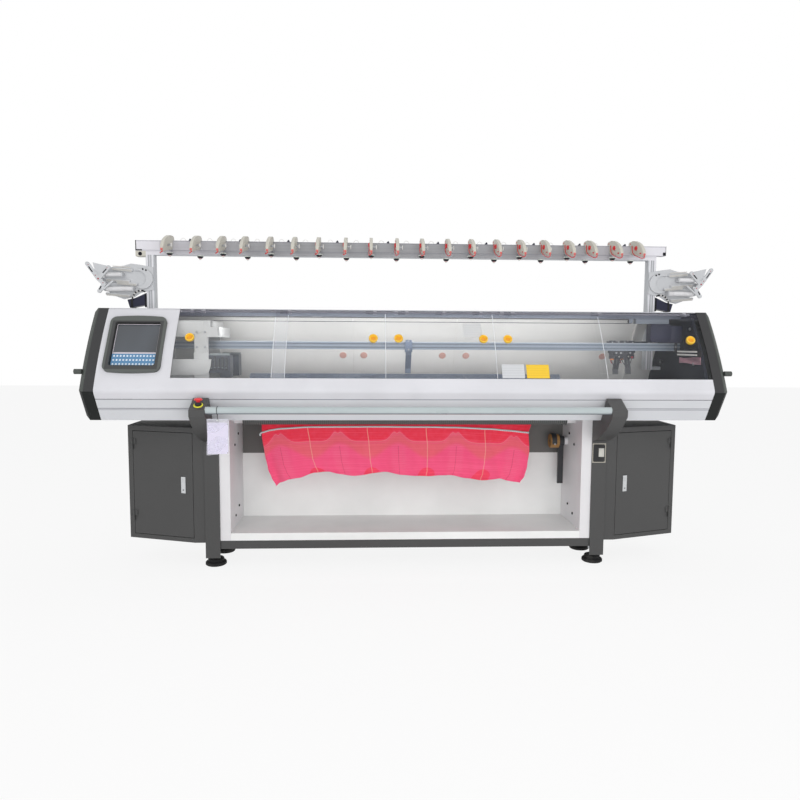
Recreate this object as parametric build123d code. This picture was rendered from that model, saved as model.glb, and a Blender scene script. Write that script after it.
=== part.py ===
from build123d import *
from math import atan2, degrees, hypot, sqrt
import os

os.makedirs("parts", exist_ok=True)

# Covered body, seen from the end
nose_y = -360.0
nose_z = 1030.0
nose_radius = 30.0
roof_edge_y = -105.0
roof_top_z = 1476.0
body_bottom_y = -262.0
body_bottom_z = 866.0
front_bulge = 15.0
mid_y = 46.8
skin = 4.0
skin_gap = 0.3
seam = 2.0

# Covered body along X
shell_half = 1668.0
cap_length = 82.0
cap_bevel = 23.0
cap_boss_radius = 12.0
cap_boss_from_nose = 110.0
cap_boss_from_edge = 60.0
cap_boss_drop = 80.0
cap_boss_rise = 60.0
cap_knob_radius = 14.0
cap_knob_length = 35.0
cap_knob_from_nose = 60.0
cap_knob_rise = 30.0
end_frame_inset = 36.0
end_frame_thickness = 16.0

# Front cover, lower panel and windows
lower_seam_z = 986.0
window_bottom_z = 1100.0
left_panel_side = 56.0
window_joint_left = -129.0
window_joint_right = 478.0
left_sheet_edge = -745.0
left_sheet_lap = 70.0
right_sheet_edge = 1042.0
right_sheet_lap = 20.0
top_strip = 40.0
panel_groove_z = 926.0
panel_groove_width = 2.0
panel_groove_pitch = 8.0
panel_groove_depth = 1.5
bottom_lip = 60.0

# Cover hinges
hinge_depth = 10.0
hinge_drop = 12.0
hinge_rod_radius = 5.0
hinge_play = 0.05
knuckle_radius = 9.0
knuckle_length = 40.0
knuckle_inset = 90.0
lug_length = 20.0
lug_gap = 0.5
lug_rise = 3.0
lug_fall = 8.0
lug_back = 14.0
lug_web = 18.0
roof_relief = 7.0

# Window knobs
knob_z = 1310.0
knob_radius = 25.0
knob_height = 18.0
knob_dish_radius = 18.0
knob_dish_depth = 9.0
knob_insets_left = (79.0, 70.0)
knob_insets_middle = (69.0, 66.0)
knob_insets_right = (70.0, 83.0)

# Rear covers
rear_joint = 323.0
rear_panel_gap = 100.0
rear_rib = 12.0
rear_rib_depth = 20.0
rear_knob_z = 1215.0
rear_knob_radius = 22.0
rear_knob_height = 16.0
rear_disc_height = 3.0
rear_knob_outer_inset = 164.0
rear_knob_left_inset = 66.0
rear_knob_right_inset = 76.0

# Needle beds and their beam
bed_half = 920.0
bed_apex_z = 1108.0
bed_gap = 10.0
bed_slope_run = 148.5
bed_thickness = 25.0
beam_bottom_z = 870.0
beam_slot = 40.0
beam_tie = 60.0
rail_width = 20.0
rail_height = 20.0
rail_reach = 22.0
rail_z = 940.0
rail_ledge = 22.0

# Top beam, belt and yarn rails
top_beam_front = 0.0
top_beam_depth = 40.0
top_beam_bottom = 1442.0
top_beam_height = 26.0
top_block_inset = 72.0
top_block_length = 200.0
belt_axis_z = 1426.0
belt_thickness = 3.0
belt_width = 24.0
pulley_radius = 11.0
pulley_inset = 72.0
pulley_from_block = 30.0
pulley_shaft_radius = 4.0
yarn_rail_bottom = 1252.0
yarn_rail_height = 46.0
yarn_rail_thickness = 12.0
yarn_rail_pitch = 90.0
rail_groove_width = 8.0
rail_groove_depth = 4.0
rail_groove_offset = 10.0
slide_play = 0.05

# Carriage
carriage_parking = 332.0
head_half = 230.0
head_shoulder = 40.0
head_step = 35.0
head_bottom = 1318.0
head_top = 1410.0
head_half_depth = 163.0
column_width = 75.0
column_pitch = 273.0
column_depth = 24.0
slab_half = 236.0
slab_clear = 4.0
slab_height = 52.0
slab_start = 25.0
slab_run = 212.0
shoe_wall = 8.0
shoe_top = 992.0
clamp_half = 30.0
changer_end = 296.0
changer_bottom = 1118.0
changer_top = 1216.0
changer_depth = 76.0
brush_length = 58.0
brush_drop = 28.0

# Yarn carriers
grey_carrier_x = 8.0
grey_carrier_width = 44.0
black_carrier_inset = 370.0
black_carrier_width = 120.0
far_carrier_inset = 290.0
far_carrier_width = 100.0
carrier_plate = 10.0
carrier_drop = 14.0
carrier_arm = 4.0
carrier_tip_width = 5.0
carrier_tip_pitch = 7.0
carrier_tip_clear = 3.0
carrier_top = 1312.0
carrier_block = 34.0
carrier_block_depth = 16.0

# Control panel
panel_inset = 185.0
panel_z = 1275.0
bezel_width = 302.0
bezel_height = 330.0
bezel_bulge = 9.0
bezel_corner = 34.0
bezel_raise = 14.0
bezel_rim = 30.0
tub_wall = 4.0
tub_depth = 20.0
recess_depth = 12.0
recess_corner = 12.0
screen_height = 176.0
keypad_height = 76.0
plate_thickness = 6.0
plate_margin = 4.0

# Stands, rails and feet
leg_side_space = 60.0
leg_width = 82.0
leg_front = -150.0
leg_depth = 150.0
leg_bottom = 109.0
leg_plate_bottom = 58.0
leg_plate = 6.0
arm_back_y = -350.0
arm_back_z = 994.0
arm_front_y = -450.0
arm_front_z = 938.0
arm_chin_z = 905.0
arm_sweep_y = -318.0
arm_sweep_z = 796.0
arm_root_z = 733.0
arm_clear = 8.0
tie_height = 90.0
rail_beam_depth = 50.0
rail_beam_height = 48.0
foot_radius = 60.0
foot_height = 22.0
foot_step_radius = 46.0
foot_step = 18.0
foot_stem_radius = 14.0

# Operating bar, stop button and pouch
bar_y = -425.0
bar_z = 935.0
bar_radius = 20.0
bar_end_gap = 0.3
journal_radius = 8.0
journal_length = 20.0
journal_play = 0.05
stop_y = -408.0
stop_radius = 22.0
stop_ring_radius = 25.0
stop_ring_top = 978.0
stop_head_bottom = 986.0
stop_head_top = 1000.0
stop_stem_radius = 8.0
stop_shank_radius = 12.0
stop_shank_depth = 45.0
stop_travel = 6.0
pouch_gap = 4.0
pouch_width = 114.0
pouch_top = 892.0
pouch_bottom = 700.0
pouch_thickness = 3.0
pouch_loop = 3.0

# Fabric bin and take-down
bin_side_space = 50.0
bin_front = -140.0
bin_back = 250.0
bin_wall = 4.0
bin_bottom = 157.0
bin_floor_z = 200.0
bin_back_top = 601.0
bin_top = 862.0
roller_radius = 30.0
roller_nip = 2.6
roller_z = 838.0
roller_half = 960.0
roller_shaft_radius = 12.0
roller_bearing = 20.0
fabric_left = -857.0
fabric_right = 755.0
fabric_bottom = 455.0
fabric_thickness = 2.0
lever_y = 150.0
lever_z = 690.0
lever_width = 34.0
lever_depth = 14.0
lever_bottom = 423.0
lever_hub_radius = 30.0
lever_shaft_radius = 9.0
lever_boss_radius = 24.0
lever_boss_length = 22.0
disc_radius = 43.0
disc_length = 52.0

# Cabinets
cabinet_gap = 0.5
cabinet_front = -140.0
cabinet_flat = 60.0
cabinet_width = 468.0
cabinet_corner_y = -12.0
cabinet_back = 230.0
cabinet_bottom = 146.0
cabinet_top = 808.0
cabinet_wall = 3.0
door_start = 8.0
door_width = 386.0
door_bottom = 174.0
door_top = 776.0
door_thickness = 18.0
door_gap = 3.0
pin_radius = 3.0
pin_knuckle_radius = 6.0
pin_axis_out = 6.5
hinge_leaf = 22.0
hinge_leaf_thickness = 5.0
hinge_knuckle_length = 30.0
hinge_low_z = 250.0
hinge_high_z = 670.0
latch_offset = 46.0
latch_width = 28.0
latch_bottom = 430.0
latch_height = 97.0
latch_thickness = 7.0
latch_pocket_gap = 1.0
latch_pocket_depth = 13.0
latch_axis_in = 5.0

# Electric units
module_width = 240.0
module_depth = 130.0
module_height = 420.0
motor_length = 110.0
motor_bottom = 1302.0
motor_depth = 80.0

# Yarn stand
post_inset = 114.0
post_size = 50.0
post_y = 280.0
post_foot_z = 1130.0
post_foot_height = 20.0
post_hole_gap = 3.0
yarn_bar_bottom = 1816.0
yarn_bar_height = 87.0
yarn_bar_wall = 4.0
stub_height = 58.0
stub_reach = 85.0
junction_width = 60.0
junction_height = 38.0
unit_count = 20
unit_from_post = 133.0
unit_shifts = (-2.0, 16.0, 17.0, 4.0, 5.0, 2.0, -4.0, 10.0, 13.0, 20.0,
               23.0, 30.0, 26.0, 31.0, 28.0, 26.0, 25.0, 9.0, 12.0, -2.0)
unit_width = 35.0
unit_reach = 150.0
unit_tail = 35.0
unit_top_z = 1930.0
unit_low_z = 1845.0
unit_brow = 30.0
unit_brow_drop = 14.0
unit_nose_drop = 44.0
unit_chin = 14.0
unit_crown = 40.0
unit_hook_rise = 20.0
unit_belly = 70.0
unit_edge = 5.0
unit_dial_radius = 14.0
unit_dial_width = 5.0
unit_dial_back = 60.0
unit_dial_pitch = 46.0
unit_arm_length = 50.0
unit_arm_tilt = 35.0
unit_arm_radius = 2.5
cup_radius = 20.0
cup_height = 18.0
cup_tip = 8.0
cup_front_rise = 10.0
cup_front_y = 215.0
cup_rear_y = 272.0
cup_stem_radius = 3.0

# Side feeders
feeder_plate = 6.0
feeder_front = 249.0
disc_reach = 43.0
disc_z = 1672.0
disc_plate_radius = 62.0
disc_cut_radius = 47.0
disc_cut_shift = 26.0
disc_plate_thickness = 12.0
feed_roller_y = 216.0
upper_roller_radius = 12.5
upper_roller_reach = 158.0
upper_roller_length = 100.0
upper_roller_z = 1692.0
lower_roller_radius = 14.0
lower_roller_reach = 96.0
lower_roller_length = 154.0
lower_roller_z = 1607.0
feed_journal_radius = 4.0
feed_journal_length = 6.0
feed_bracket = 8.0
feed_end_gap = 0.3
plate_inset = 4.0
plate_left_rise = 70.0
plate_crown_rise = 90.0
plate_right_rise = 66.0
plate_margin_side = 14.0
plate_low_drop = 60.0
plate_corner_drop = 34.0
plate_corner_in = 20.0
comb_depth = 12.0
comb_height = 16.0
comb_above = 30.0
comb_below = 38.0
comb_tilt = 10.0
comb_ends = ((10.0, -40.0), (-34.0, -4.0), (-16.0, -60.0), (-34.0, 6.0))
yoke_thickness = 10.0
yoke_width = 24.0
yoke_gap = 4.0
yoke_top_inset = 34.0
yoke_top_rise = 40.0
yoke_post_reach = 28.0
yoke_post_drop = 28.0
yoke_low_rise = 26.0
yoke_foot_reach = 32.0
yoke_foot_drop = 16.0
yoke_tip_reach = 90.0
yoke_tip_rise = 60.0
tail_start = 44.0
tail_end = 10.0
tail_drop = 6.0
sheet_back = 30.0
sheet_rise = 8.0
sheet_thickness = 3.0
feed_motor_depth = 60.0
feed_motor_rise = 20.0
feed_motor_shoulder = 20.0
feed_motor_drop = 52.0
feed_motor_low_drop = 62.0
feed_motor_top_inset = 16.0
feed_motor_foot_inset = 30.0

# Derived positions
shell_end = shell_half + cap_length
end_frame_inner = shell_half - end_frame_inset
post_x = shell_half - post_inset
panel_x = panel_inset - shell_half
left_panel_edge = panel_x + bezel_width / 2 + left_panel_side
rear_panel_edge = post_x - rear_panel_gap
knob_x_left = (left_panel_edge + knob_insets_left[0], window_joint_left - knob_insets_left[1])
knob_x_middle = (window_joint_left + knob_insets_middle[0], window_joint_right - knob_insets_middle[1])
knob_x_right = (window_joint_right + knob_insets_right[0], shell_half - knob_insets_right[1])
rear_knob_outer = rear_panel_edge - rear_knob_outer_inset
rear_knob_left = (-rear_knob_outer, -rear_joint - rear_knob_left_inset)
rear_knob_middle = (rear_knob_left_inset - rear_joint, rear_joint - rear_knob_right_inset)
rear_knob_right = (rear_joint + rear_knob_right_inset, rear_knob_outer)
top_block_end = end_frame_inner - top_block_inset
top_block_start = top_block_end - top_block_length
pulley_left_x = pulley_inset - end_frame_inner
pulley_right_x = top_block_start - pulley_from_block
motor_end = top_block_end
motor_start = motor_end - motor_length
carriage_x = carriage_parking - end_frame_inner
black_carrier_x = end_frame_inner - black_carrier_inset
far_carrier_x = end_frame_inner - far_carrier_inset
bin_inner = roller_half + bin_side_space
leg_inner = bin_inner + leg_side_space
stop_x = -leg_inner - leg_width / 2
pouch_left = pouch_gap - leg_inner
cabinet_outer = leg_inner + leg_width + cabinet_width
stub_end = post_x + stub_reach
disc_x = post_x + disc_reach
upper_roller_start = post_x + upper_roller_reach
upper_roller_end = upper_roller_start + upper_roller_length
lower_roller_start = post_x + lower_roller_reach
lower_roller_end = lower_roller_start + lower_roller_length
depth_run = roof_edge_y - nose_y
height_run = roof_top_z - nose_z
chord = hypot(depth_run, height_run)
arc_radius = chord * chord / (8 * front_bulge) + front_bulge / 2
along_y = depth_run / chord
along_z = height_run / chord
arc_y = (nose_y + roof_edge_y) / 2 + (arc_radius - front_bulge) * along_z
arc_z = (nose_z + roof_top_z) / 2 - (arc_radius - front_bulge) * along_y
edge_y = (roof_edge_y - arc_y) / arc_radius
edge_z = (roof_top_z - arc_z) / arc_radius
hinge_y = roof_edge_y - hinge_drop * edge_z - hinge_depth * edge_y
hinge_z = roof_top_z + hinge_drop * edge_y - hinge_depth * edge_z
needle_front_y = mid_y - bed_gap / 2
bed_line = bed_apex_z - needle_front_y
bed_low_y = needle_front_y - bed_slope_run
bed_drop = bed_thickness * sqrt(2)
beam_front_y = bed_low_y
rail_back_y = beam_front_y - rail_reach
rail_front_y = rail_back_y - rail_width
leg_outer = leg_inner + leg_width
head_front = mid_y - head_half_depth
column_half = column_pitch / 2
rail_ys = (mid_y - yarn_rail_pitch / 2, mid_y + yarn_rail_pitch / 2)
frame_gap = skin + skin_gap
post_front = post_y - post_size / 2
post_back = post_y + post_size / 2
yarn_bar_top = yarn_bar_bottom + yarn_bar_height
unit_half_span = post_x - unit_from_post
unit_pitch = 2 * unit_half_span / (unit_count - 1)


def block(x0, x1, y0, y1, z0, z1):
    return Pos((x0 + x1) / 2, (y0 + y1) / 2, (z0 + z1) / 2) * Box(x1 - x0, y1 - y0, z1 - z0)


def rod_x(x0, x1, y, z, radius):
    return Pos((x0 + x1) / 2, y, z) * Rot(0, 90, 0) * Cylinder(radius, x1 - x0)


def rod_y(y0, y1, x, z, radius):
    return Pos(x, (y0 + y1) / 2, z) * Rot(90, 0, 0) * Cylinder(radius, y1 - y0)


def rod_z(z0, z1, x, y, radius):
    return Pos(x, y, (z0 + z1) / 2) * Cylinder(radius, z1 - z0)


def prism_x(points, x0, x1):
    base = Plane(origin=(x0, 0, 0), x_dir=(0, 1, 0), z_dir=(1, 0, 0))
    return extrude(base * make_face(Polyline(*points, close=True)), amount=x1 - x0)


def prism_y(points, y0, y1):
    base = Plane(origin=(0, y1, 0), x_dir=(1, 0, 0), z_dir=(0, -1, 0))
    return extrude(base * make_face(Polyline(*points, close=True)), amount=y1 - y0)


def prism_z(points, z0, z1):
    return Pos(0, 0, z0) * extrude(make_face(Polyline(*points, close=True)), amount=z1 - z0)


def to_rear(shape):
    return mirror(shape, about=Plane(origin=(0, mid_y, 0), x_dir=(1, 0, 0), z_dir=(0, 1, 0)))


def to_left(shape):
    return mirror(shape, about=Plane.YZ)


def put(shape, node):
    export_step(shape, "parts/" + node + ".step")


def group(shapes):
    return Compound(children=[s for shape in shapes for s in shape.solids()])


def outline():
    rear_nose = 2 * mid_y - nose_y
    rear_edge = 2 * mid_y - roof_edge_y
    rear_bottom = 2 * mid_y - body_bottom_y
    bulge_y = (nose_y + roof_edge_y) / 2 - front_bulge * along_z
    bulge_z = (nose_z + roof_top_z) / 2 + front_bulge * along_y
    edges = [
        Line((body_bottom_y, body_bottom_z), (nose_y, nose_z)),
        ThreePointArc((nose_y, nose_z), (bulge_y, bulge_z), (roof_edge_y, roof_top_z)),
        Line((roof_edge_y, roof_top_z), (rear_edge, roof_top_z)),
        ThreePointArc((rear_edge, roof_top_z), (2 * mid_y - bulge_y, bulge_z), (rear_nose, nose_z)),
        Line((rear_nose, nose_z), (rear_bottom, body_bottom_z)),
        Line((rear_bottom, body_bottom_z), (body_bottom_y, body_bottom_z)),
    ]
    face = make_face(edges)
    noses = [v for v in face.vertices() if abs(v.Y - nose_z) < 0.1]
    return fillet(noses, nose_radius)


body_outline = outline()


def body(inset, x0, x1):
    face = body_outline if inset == 0 else offset(body_outline, -inset, kind=Kind.INTERSECTION)
    base = Plane(origin=(x0, 0, 0), x_dir=(0, 1, 0), z_dir=(1, 0, 0))
    return extrude(base * face, amount=x1 - x0)


def shell(x0, x1, layer=0, thickness=skin):
    return body(layer * skin, x0, x1) - body(layer * skin + thickness, x0, x1)


def surface_y(z):
    return arc_y - sqrt(arc_radius ** 2 - (z - arc_z) ** 2)


def surface_frame(x, z):
    y = surface_y(z)
    normal = ((y - arc_y) / arc_radius, (z - arc_z) / arc_radius)
    return Plane(origin=(x, y, z), x_dir=(1, 0, 0), z_dir=(0, normal[0], normal[1]))


def slope_zone(z_low, drop, x0, x1):
    out = 30.0
    inside = 70.0
    top_y = roof_edge_y - drop * edge_z
    top_z = roof_top_z + drop * edge_y
    points = [
        (nose_y - out, z_low),
        (mid_y - inside, z_low),
        (top_y - inside * edge_y, top_z - inside * edge_z),
        (top_y + out * edge_y, top_z + out * edge_z),
        (nose_y - out, top_z),
    ]
    return prism_x(points, x0, x1)


def knuckles(x0, x1):
    places = [x0 + knuckle_inset, (x0 + x1) / 2, x1 - knuckle_inset]
    half = knuckle_length / 2
    return [(x - half, x + half) for x in places]


def hinge_knuckles(x0, x1):
    parts = []
    for a, b in knuckles(x0, x1):
        ring = rod_x(a, b, hinge_y, hinge_z, knuckle_radius)
        parts.append(ring - rod_x(a, b, hinge_y, hinge_z, hinge_rod_radius + hinge_play))
    return parts


def hinged_sheet(x0, x1, z_low, laps):
    first = laps[0][1] if laps else x1
    zone = slope_zone(z_low, hinge_drop, x0, first)
    sheet = shell(x0, first) & zone
    for a, b in laps:
        lap_zone = slope_zone(z_low, hinge_drop + 2 * knuckle_radius, a, x1)
        sheet += shell(a, x1, layer=1) & lap_zone
        strip = slope_zone(z_low, hinge_drop, b, x1) - slope_zone(z_low - 1, hinge_drop + top_strip, b, x1)
        sheet += shell(b, x1) & strip
    for ring in hinge_knuckles(x0, x1):
        sheet += ring
    return sheet


def window_knob(x, layer):
    frame = surface_frame(x, knob_z)
    base = -layer * skin - knob_height / 4
    knob = frame * Pos(0, 0, (base + knob_height) / 2) * Cylinder(knob_radius, knob_height - base)
    dish = frame * Pos(0, 0, knob_height - knob_dish_depth / 2) * Cylinder(knob_dish_radius, knob_dish_depth)
    return knob - dish - body(layer * skin, x - 2 * knob_radius, x + 2 * knob_radius)


def rear_knob(x):
    frame = surface_frame(x, rear_knob_z)
    grip = frame * Cylinder(rear_knob_radius, 2 * rear_knob_height)
    disc = frame * Cylinder(rear_knob_radius, 2 * (skin + rear_disc_height))
    wide = (x - 2 * rear_knob_radius, x + 2 * rear_knob_radius)
    outer = grip - body(0, *wide)
    inner = disc & body(skin, *wide)
    stem = frame * Cylinder(rear_knob_radius / 2, 2 * (skin + rear_disc_height))
    return outer + inner + stem


def window_spans():
    marks = [left_panel_edge, window_joint_left, window_joint_right, shell_half - seam / 2]
    return [(a + seam / 2, b - seam / 2) for a, b in zip(marks, marks[1:])]


def rear_spans():
    marks = [-rear_panel_edge, -rear_joint, rear_joint, rear_panel_edge]
    return [(a + seam / 2, b - seam / 2) for a, b in zip(marks, marks[1:])]


def make_windows():
    laps = [[(left_sheet_edge, left_sheet_edge + left_sheet_lap)], [],
            [(right_sheet_edge, right_sheet_edge + right_sheet_lap)]]
    for node, (x0, x1), lap in zip(("left_window", "middle_window", "right_window"), window_spans(), laps):
        put(hinged_sheet(x0, x1, window_bottom_z + seam / 2, lap), node)
    put(group([window_knob(knob_x_left[0], 0), window_knob(knob_x_left[1], 1)]), "left_window_knobs")
    put(group([window_knob(x, 0) for x in knob_x_middle]), "middle_window_knobs")
    put(group([window_knob(knob_x_right[0], 0), window_knob(knob_x_right[1], 1)]), "right_window_knobs")


def make_rear_covers():
    nodes = ("left_rear_cover", "middle_rear_cover", "right_rear_cover")
    knob_sets = (rear_knob_left, rear_knob_middle, rear_knob_right)
    for node, (x0, x1), knob_xs in zip(nodes, rear_spans(), knob_sets):
        cover = hinged_sheet(x0, x1, window_bottom_z + seam / 2, [])
        for x in knob_xs:
            cover += rear_knob(x)
        put(to_rear(cover), node)


def hinge_set(spans):
    end = min(spans[-1][1], end_frame_inner - seam)
    parts = [rod_x(spans[0][0], end, hinge_y, hinge_z, hinge_rod_radius)]
    for x0, x1 in spans:
        places = knuckles(x0, x1)
        parts.append(hinge_lug(places[0][0] - lug_gap - lug_length))
        parts += [hinge_lug(b + lug_gap) for a, b in places]
    return parts


def hinge_lug(x):
    arm = block(x, x + lug_length, hinge_y, hinge_y + lug_back + lug_web,
                hinge_z - lug_fall, hinge_z + lug_rise)
    web = block(x, x + lug_length, hinge_y + lug_back, hinge_y + lug_back + lug_web, hinge_z - lug_fall,
                roof_top_z - skin / 2)
    return arm + web


def roof_notch(x0, x1):
    return block(x0, x1, roof_edge_y - 1, roof_edge_y + roof_relief, roof_top_z - skin, roof_top_z)


def make_roof():
    rear_edge = 2 * mid_y - roof_edge_y
    plate = block(-shell_half, shell_half, roof_edge_y, rear_edge, roof_top_z - skin, roof_top_z)
    plate -= roof_notch(window_spans()[0][0], shell_half)
    plate -= to_rear(roof_notch(-rear_panel_edge, rear_panel_edge))
    for lug in hinge_set(window_spans()):
        plate += lug
    for lug in hinge_set(rear_spans()):
        plate += to_rear(lug)
    put(plate, "roof_panel")


def bezel_face(width, height, bulge, corner):
    w = width / 2
    h = height / 2
    edges = [
        Line((-w, -h), (-w, h)),
        ThreePointArc((-w, h), (0, h + bulge), (w, h)),
        Line((w, h), (w, -h)),
        ThreePointArc((w, -h), (0, -h - bulge), (-w, -h)),
    ]
    face = make_face(edges)
    return fillet(face.vertices(), corner)


def bezel_slab(width, height, bulge, corner, low, high):
    frame = surface_frame(panel_x, panel_z)
    return extrude(frame * Pos(0, 0, low) * bezel_face(width, height, bulge, corner), amount=high - low)


def recess_size():
    return bezel_width - 2 * bezel_rim, bezel_height - 2 * bezel_rim


def make_control_panel():
    width, height = recess_size()
    span = (panel_x - bezel_width, panel_x + bezel_width)
    flange = bezel_slab(bezel_width, bezel_height, bezel_bulge, bezel_corner, -tub_depth, bezel_raise)
    flange -= body(0, *span)
    grow = 2 * tub_wall
    tub = bezel_slab(width + grow, height + grow, 0.1, recess_corner + tub_wall, -tub_depth, 0)
    recess = bezel_slab(width, height, 0.1, recess_corner, -recess_depth, 2 * bezel_raise)
    put(flange + tub - recess, "control_bezel")
    frame = surface_frame(panel_x, panel_z)
    low = -recess_depth + plate_thickness / 2
    screen_y = height / 2 - plate_margin - screen_height / 2
    keypad_y = -height / 2 + plate_margin + keypad_height / 2
    plate_width = width - 2 * plate_margin
    put(frame * Pos(0, screen_y, low) * Box(plate_width, screen_height, plate_thickness), "control_screen")
    put(frame * Pos(0, keypad_y, low) * Box(plate_width, keypad_height, plate_thickness), "control_keypad")


def make_front_cover():
    band = shell(-shell_half, shell_half)
    band &= block(-shell_half, shell_half, nose_y - skin, mid_y, lower_seam_z + seam / 2,
                  window_bottom_z - seam / 2)
    side = shell(-shell_half, left_panel_edge - seam / 2)
    side &= slope_zone(lower_seam_z + seam / 2, skin + seam, -shell_half, left_panel_edge - seam / 2)
    width, height = recess_size()
    grow = 2 * tub_wall + seam
    hole = bezel_slab(width + grow, height + grow, 0.1, recess_corner + tub_wall, -2 * tub_depth, tub_depth)
    put(band + side - hole, "front_cover")


def lower_band():
    inner_y = body_bottom_y + bottom_lip
    band = shell(-shell_half, shell_half)
    top = lower_seam_z - seam / 2
    return band & block(-shell_half, shell_half, nose_y - skin, inner_y, body_bottom_z, top)


def make_lower_panel():
    panel = lower_band()
    skim = body(0, -shell_half, shell_half) - body(panel_groove_depth, -shell_half, shell_half)
    for i in range(2):
        z = panel_groove_z + i * panel_groove_pitch
        panel -= skim & block(-shell_half, shell_half, nose_y, body_bottom_y, z, z + panel_groove_width)
    put(panel, "lower_front_panel")


def post_passage(sign):
    half = post_size / 2 + post_hole_gap
    x = sign * post_x
    return block(x - half, x + half, post_y - half, post_y + half, window_bottom_z, roof_top_z)


def make_rear_casing():
    inner_y = body_bottom_y + bottom_lip
    casing = shell(-shell_half, shell_half)
    low = block(-shell_half, shell_half, nose_y - skin, inner_y, body_bottom_z, nose_z)
    high = block(-shell_half, shell_half, nose_y - skin, mid_y, nose_z, window_bottom_z - seam / 2)
    casing &= low + high
    for sign in (-1, 1):
        x0 = min(sign * rear_panel_edge, sign * shell_half)
        x1 = max(sign * rear_panel_edge, sign * shell_half)
        casing += shell(x0, x1) & slope_zone(nose_z, skin + seam, x0, x1)
        rib_end = sign * (rear_panel_edge + rear_rib)
        r0 = min(sign * rear_panel_edge, rib_end)
        r1 = max(sign * rear_panel_edge, rib_end)
        rib = body(skin / 2, r0, r1) - body(rear_rib_depth, r0, r1)
        casing += rib & slope_zone(nose_z, hinge_drop + 3 * knuckle_radius, r0, r1)
    casing = to_rear(casing)
    for sign in (-1, 1):
        casing -= post_passage(sign)
    put(casing, "rear_casing")


def cap_bosses():
    front_y = nose_y + cap_boss_from_nose
    return [(front_y, nose_z), (roof_edge_y + cap_boss_from_edge, roof_top_z - cap_boss_drop),
            (2 * mid_y - front_y, nose_z), (mid_y, body_bottom_z + cap_boss_rise)]


def make_end_caps():
    solid = body(0, shell_half, shell_end)
    outer = solid.edges().filter_by_position(Axis.X, shell_end - 0.01, shell_end + 0.01)
    solid = chamfer(outer, cap_bevel)
    cap = solid - body(skin, shell_half, shell_end - skin - cap_bevel)
    for y, z in cap_bosses():
        cap += rod_x(end_frame_inner + end_frame_thickness, shell_end - skin, y, z, cap_boss_radius)
    knob_y = nose_y + cap_knob_from_nose
    high = window_bottom_z + cap_knob_rise
    cap += rod_x(shell_end - skin, shell_end + cap_knob_length, knob_y, high, cap_knob_radius)
    put(cap, "right_end_cap")
    put(to_left(cap), "left_end_cap")


def make_end_frames():
    inner = end_frame_inner
    outer = inner + end_frame_thickness
    plate = body(frame_gap, inner, outer)
    lap = body(skin, inner, outer) - body(2 * skin + skin_gap, inner, outer)
    lap &= slope_zone(window_bottom_z - seam, 0, inner, outer)
    corner = block(inner, outer, roof_edge_y - lug_back, hinge_y + lug_back, hinge_z - lug_back, roof_top_z)
    put(group([to_left(plate), plate - lap - corner]), "end_frames")


def bed_section():
    return [
        (needle_front_y, bed_apex_z),
        (needle_front_y, bed_apex_z - bed_drop),
        (bed_low_y, bed_apex_z - bed_slope_run - bed_drop),
        (bed_low_y, bed_apex_z - bed_slope_run),
    ]


def make_beds():
    bed = prism_x(bed_section(), -bed_half, bed_half)
    put(bed, "front_needle_bed")
    put(to_rear(bed), "rear_needle_bed")


def make_beam():
    slot_y = mid_y - beam_slot / 2
    low_line = bed_line - bed_drop
    side = [
        (slot_y, beam_bottom_z),
        (slot_y, slot_y + low_line),
        (beam_front_y, beam_front_y + low_line),
        (beam_front_y, rail_z),
        (rail_front_y, rail_z),
        (rail_front_y, rail_z - rail_ledge),
        (beam_front_y, rail_z - 2 * rail_ledge),
        (beam_front_y, beam_bottom_z),
    ]
    half = prism_x(side, -end_frame_inner, end_frame_inner)
    half += block(-end_frame_inner, end_frame_inner, rail_front_y, rail_back_y,
                  rail_z - 1, rail_z + rail_height)
    beam = half + to_rear(half)
    top = slot_y + low_line
    for sign in (-1, 1):
        a = sign * (end_frame_inner - beam_tie / 2)
        beam += block(a - beam_tie / 2, a + beam_tie / 2, slot_y - 1, 2 * mid_y - slot_y + 1,
                      beam_bottom_z, top)
    put(beam, "bed_beam")


def make_top_beam():
    front = top_beam_front
    back = front + top_beam_depth
    beam = block(-end_frame_inner, end_frame_inner, front, back,
                 top_beam_bottom, top_beam_bottom + top_beam_height)
    low = belt_axis_z - pulley_radius - belt_thickness
    beam += block(top_block_start, top_block_end, front, back, low, top_beam_bottom)
    for x in (pulley_left_x, pulley_right_x):
        beam += block(x - pulley_radius, x + pulley_radius, front, front + skin,
                      belt_axis_z - pulley_radius, top_beam_bottom)
        beam += rod_y(front, back - skin, x, belt_axis_z, pulley_shaft_radius)
    put(beam, "top_beam")


def make_belt():
    y0 = top_beam_front + skin + skin_gap
    y1 = y0 + belt_width
    outer = pulley_radius + belt_thickness
    loop = stadium(y0, y1, outer) - stadium(y0, y1, pulley_radius)
    parts = [loop]
    for x in (pulley_left_x, pulley_right_x):
        pulley = rod_y(y0, y1, x, belt_axis_z, pulley_radius)
        parts.append(pulley - rod_y(y0, y1, x, belt_axis_z, pulley_shaft_radius + hinge_play))
    put(group(parts), "belt_drive")


def stadium(y0, y1, radius):
    run = block(pulley_left_x, pulley_right_x, y0, y1, belt_axis_z - radius, belt_axis_z + radius)
    run += rod_y(y0, y1, pulley_left_x, belt_axis_z, radius)
    run += rod_y(y0, y1, pulley_right_x, belt_axis_z, radius)
    return run


def rail_grooves(y, x0, x1, play):
    cuts = []
    half = yarn_rail_thickness / 2
    middle = yarn_rail_bottom + yarn_rail_height / 2
    for face in (-1, 1):
        for level in (-1, 1):
            z = middle + level * rail_groove_offset
            edge = y + face * half
            inner = y + face * (half - rail_groove_depth + play)
            w = rail_groove_width / 2 - play
            cuts.append((face, block(x0, x1, min(edge, inner), max(edge, inner), z - w, z + w)))
    return cuts


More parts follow.
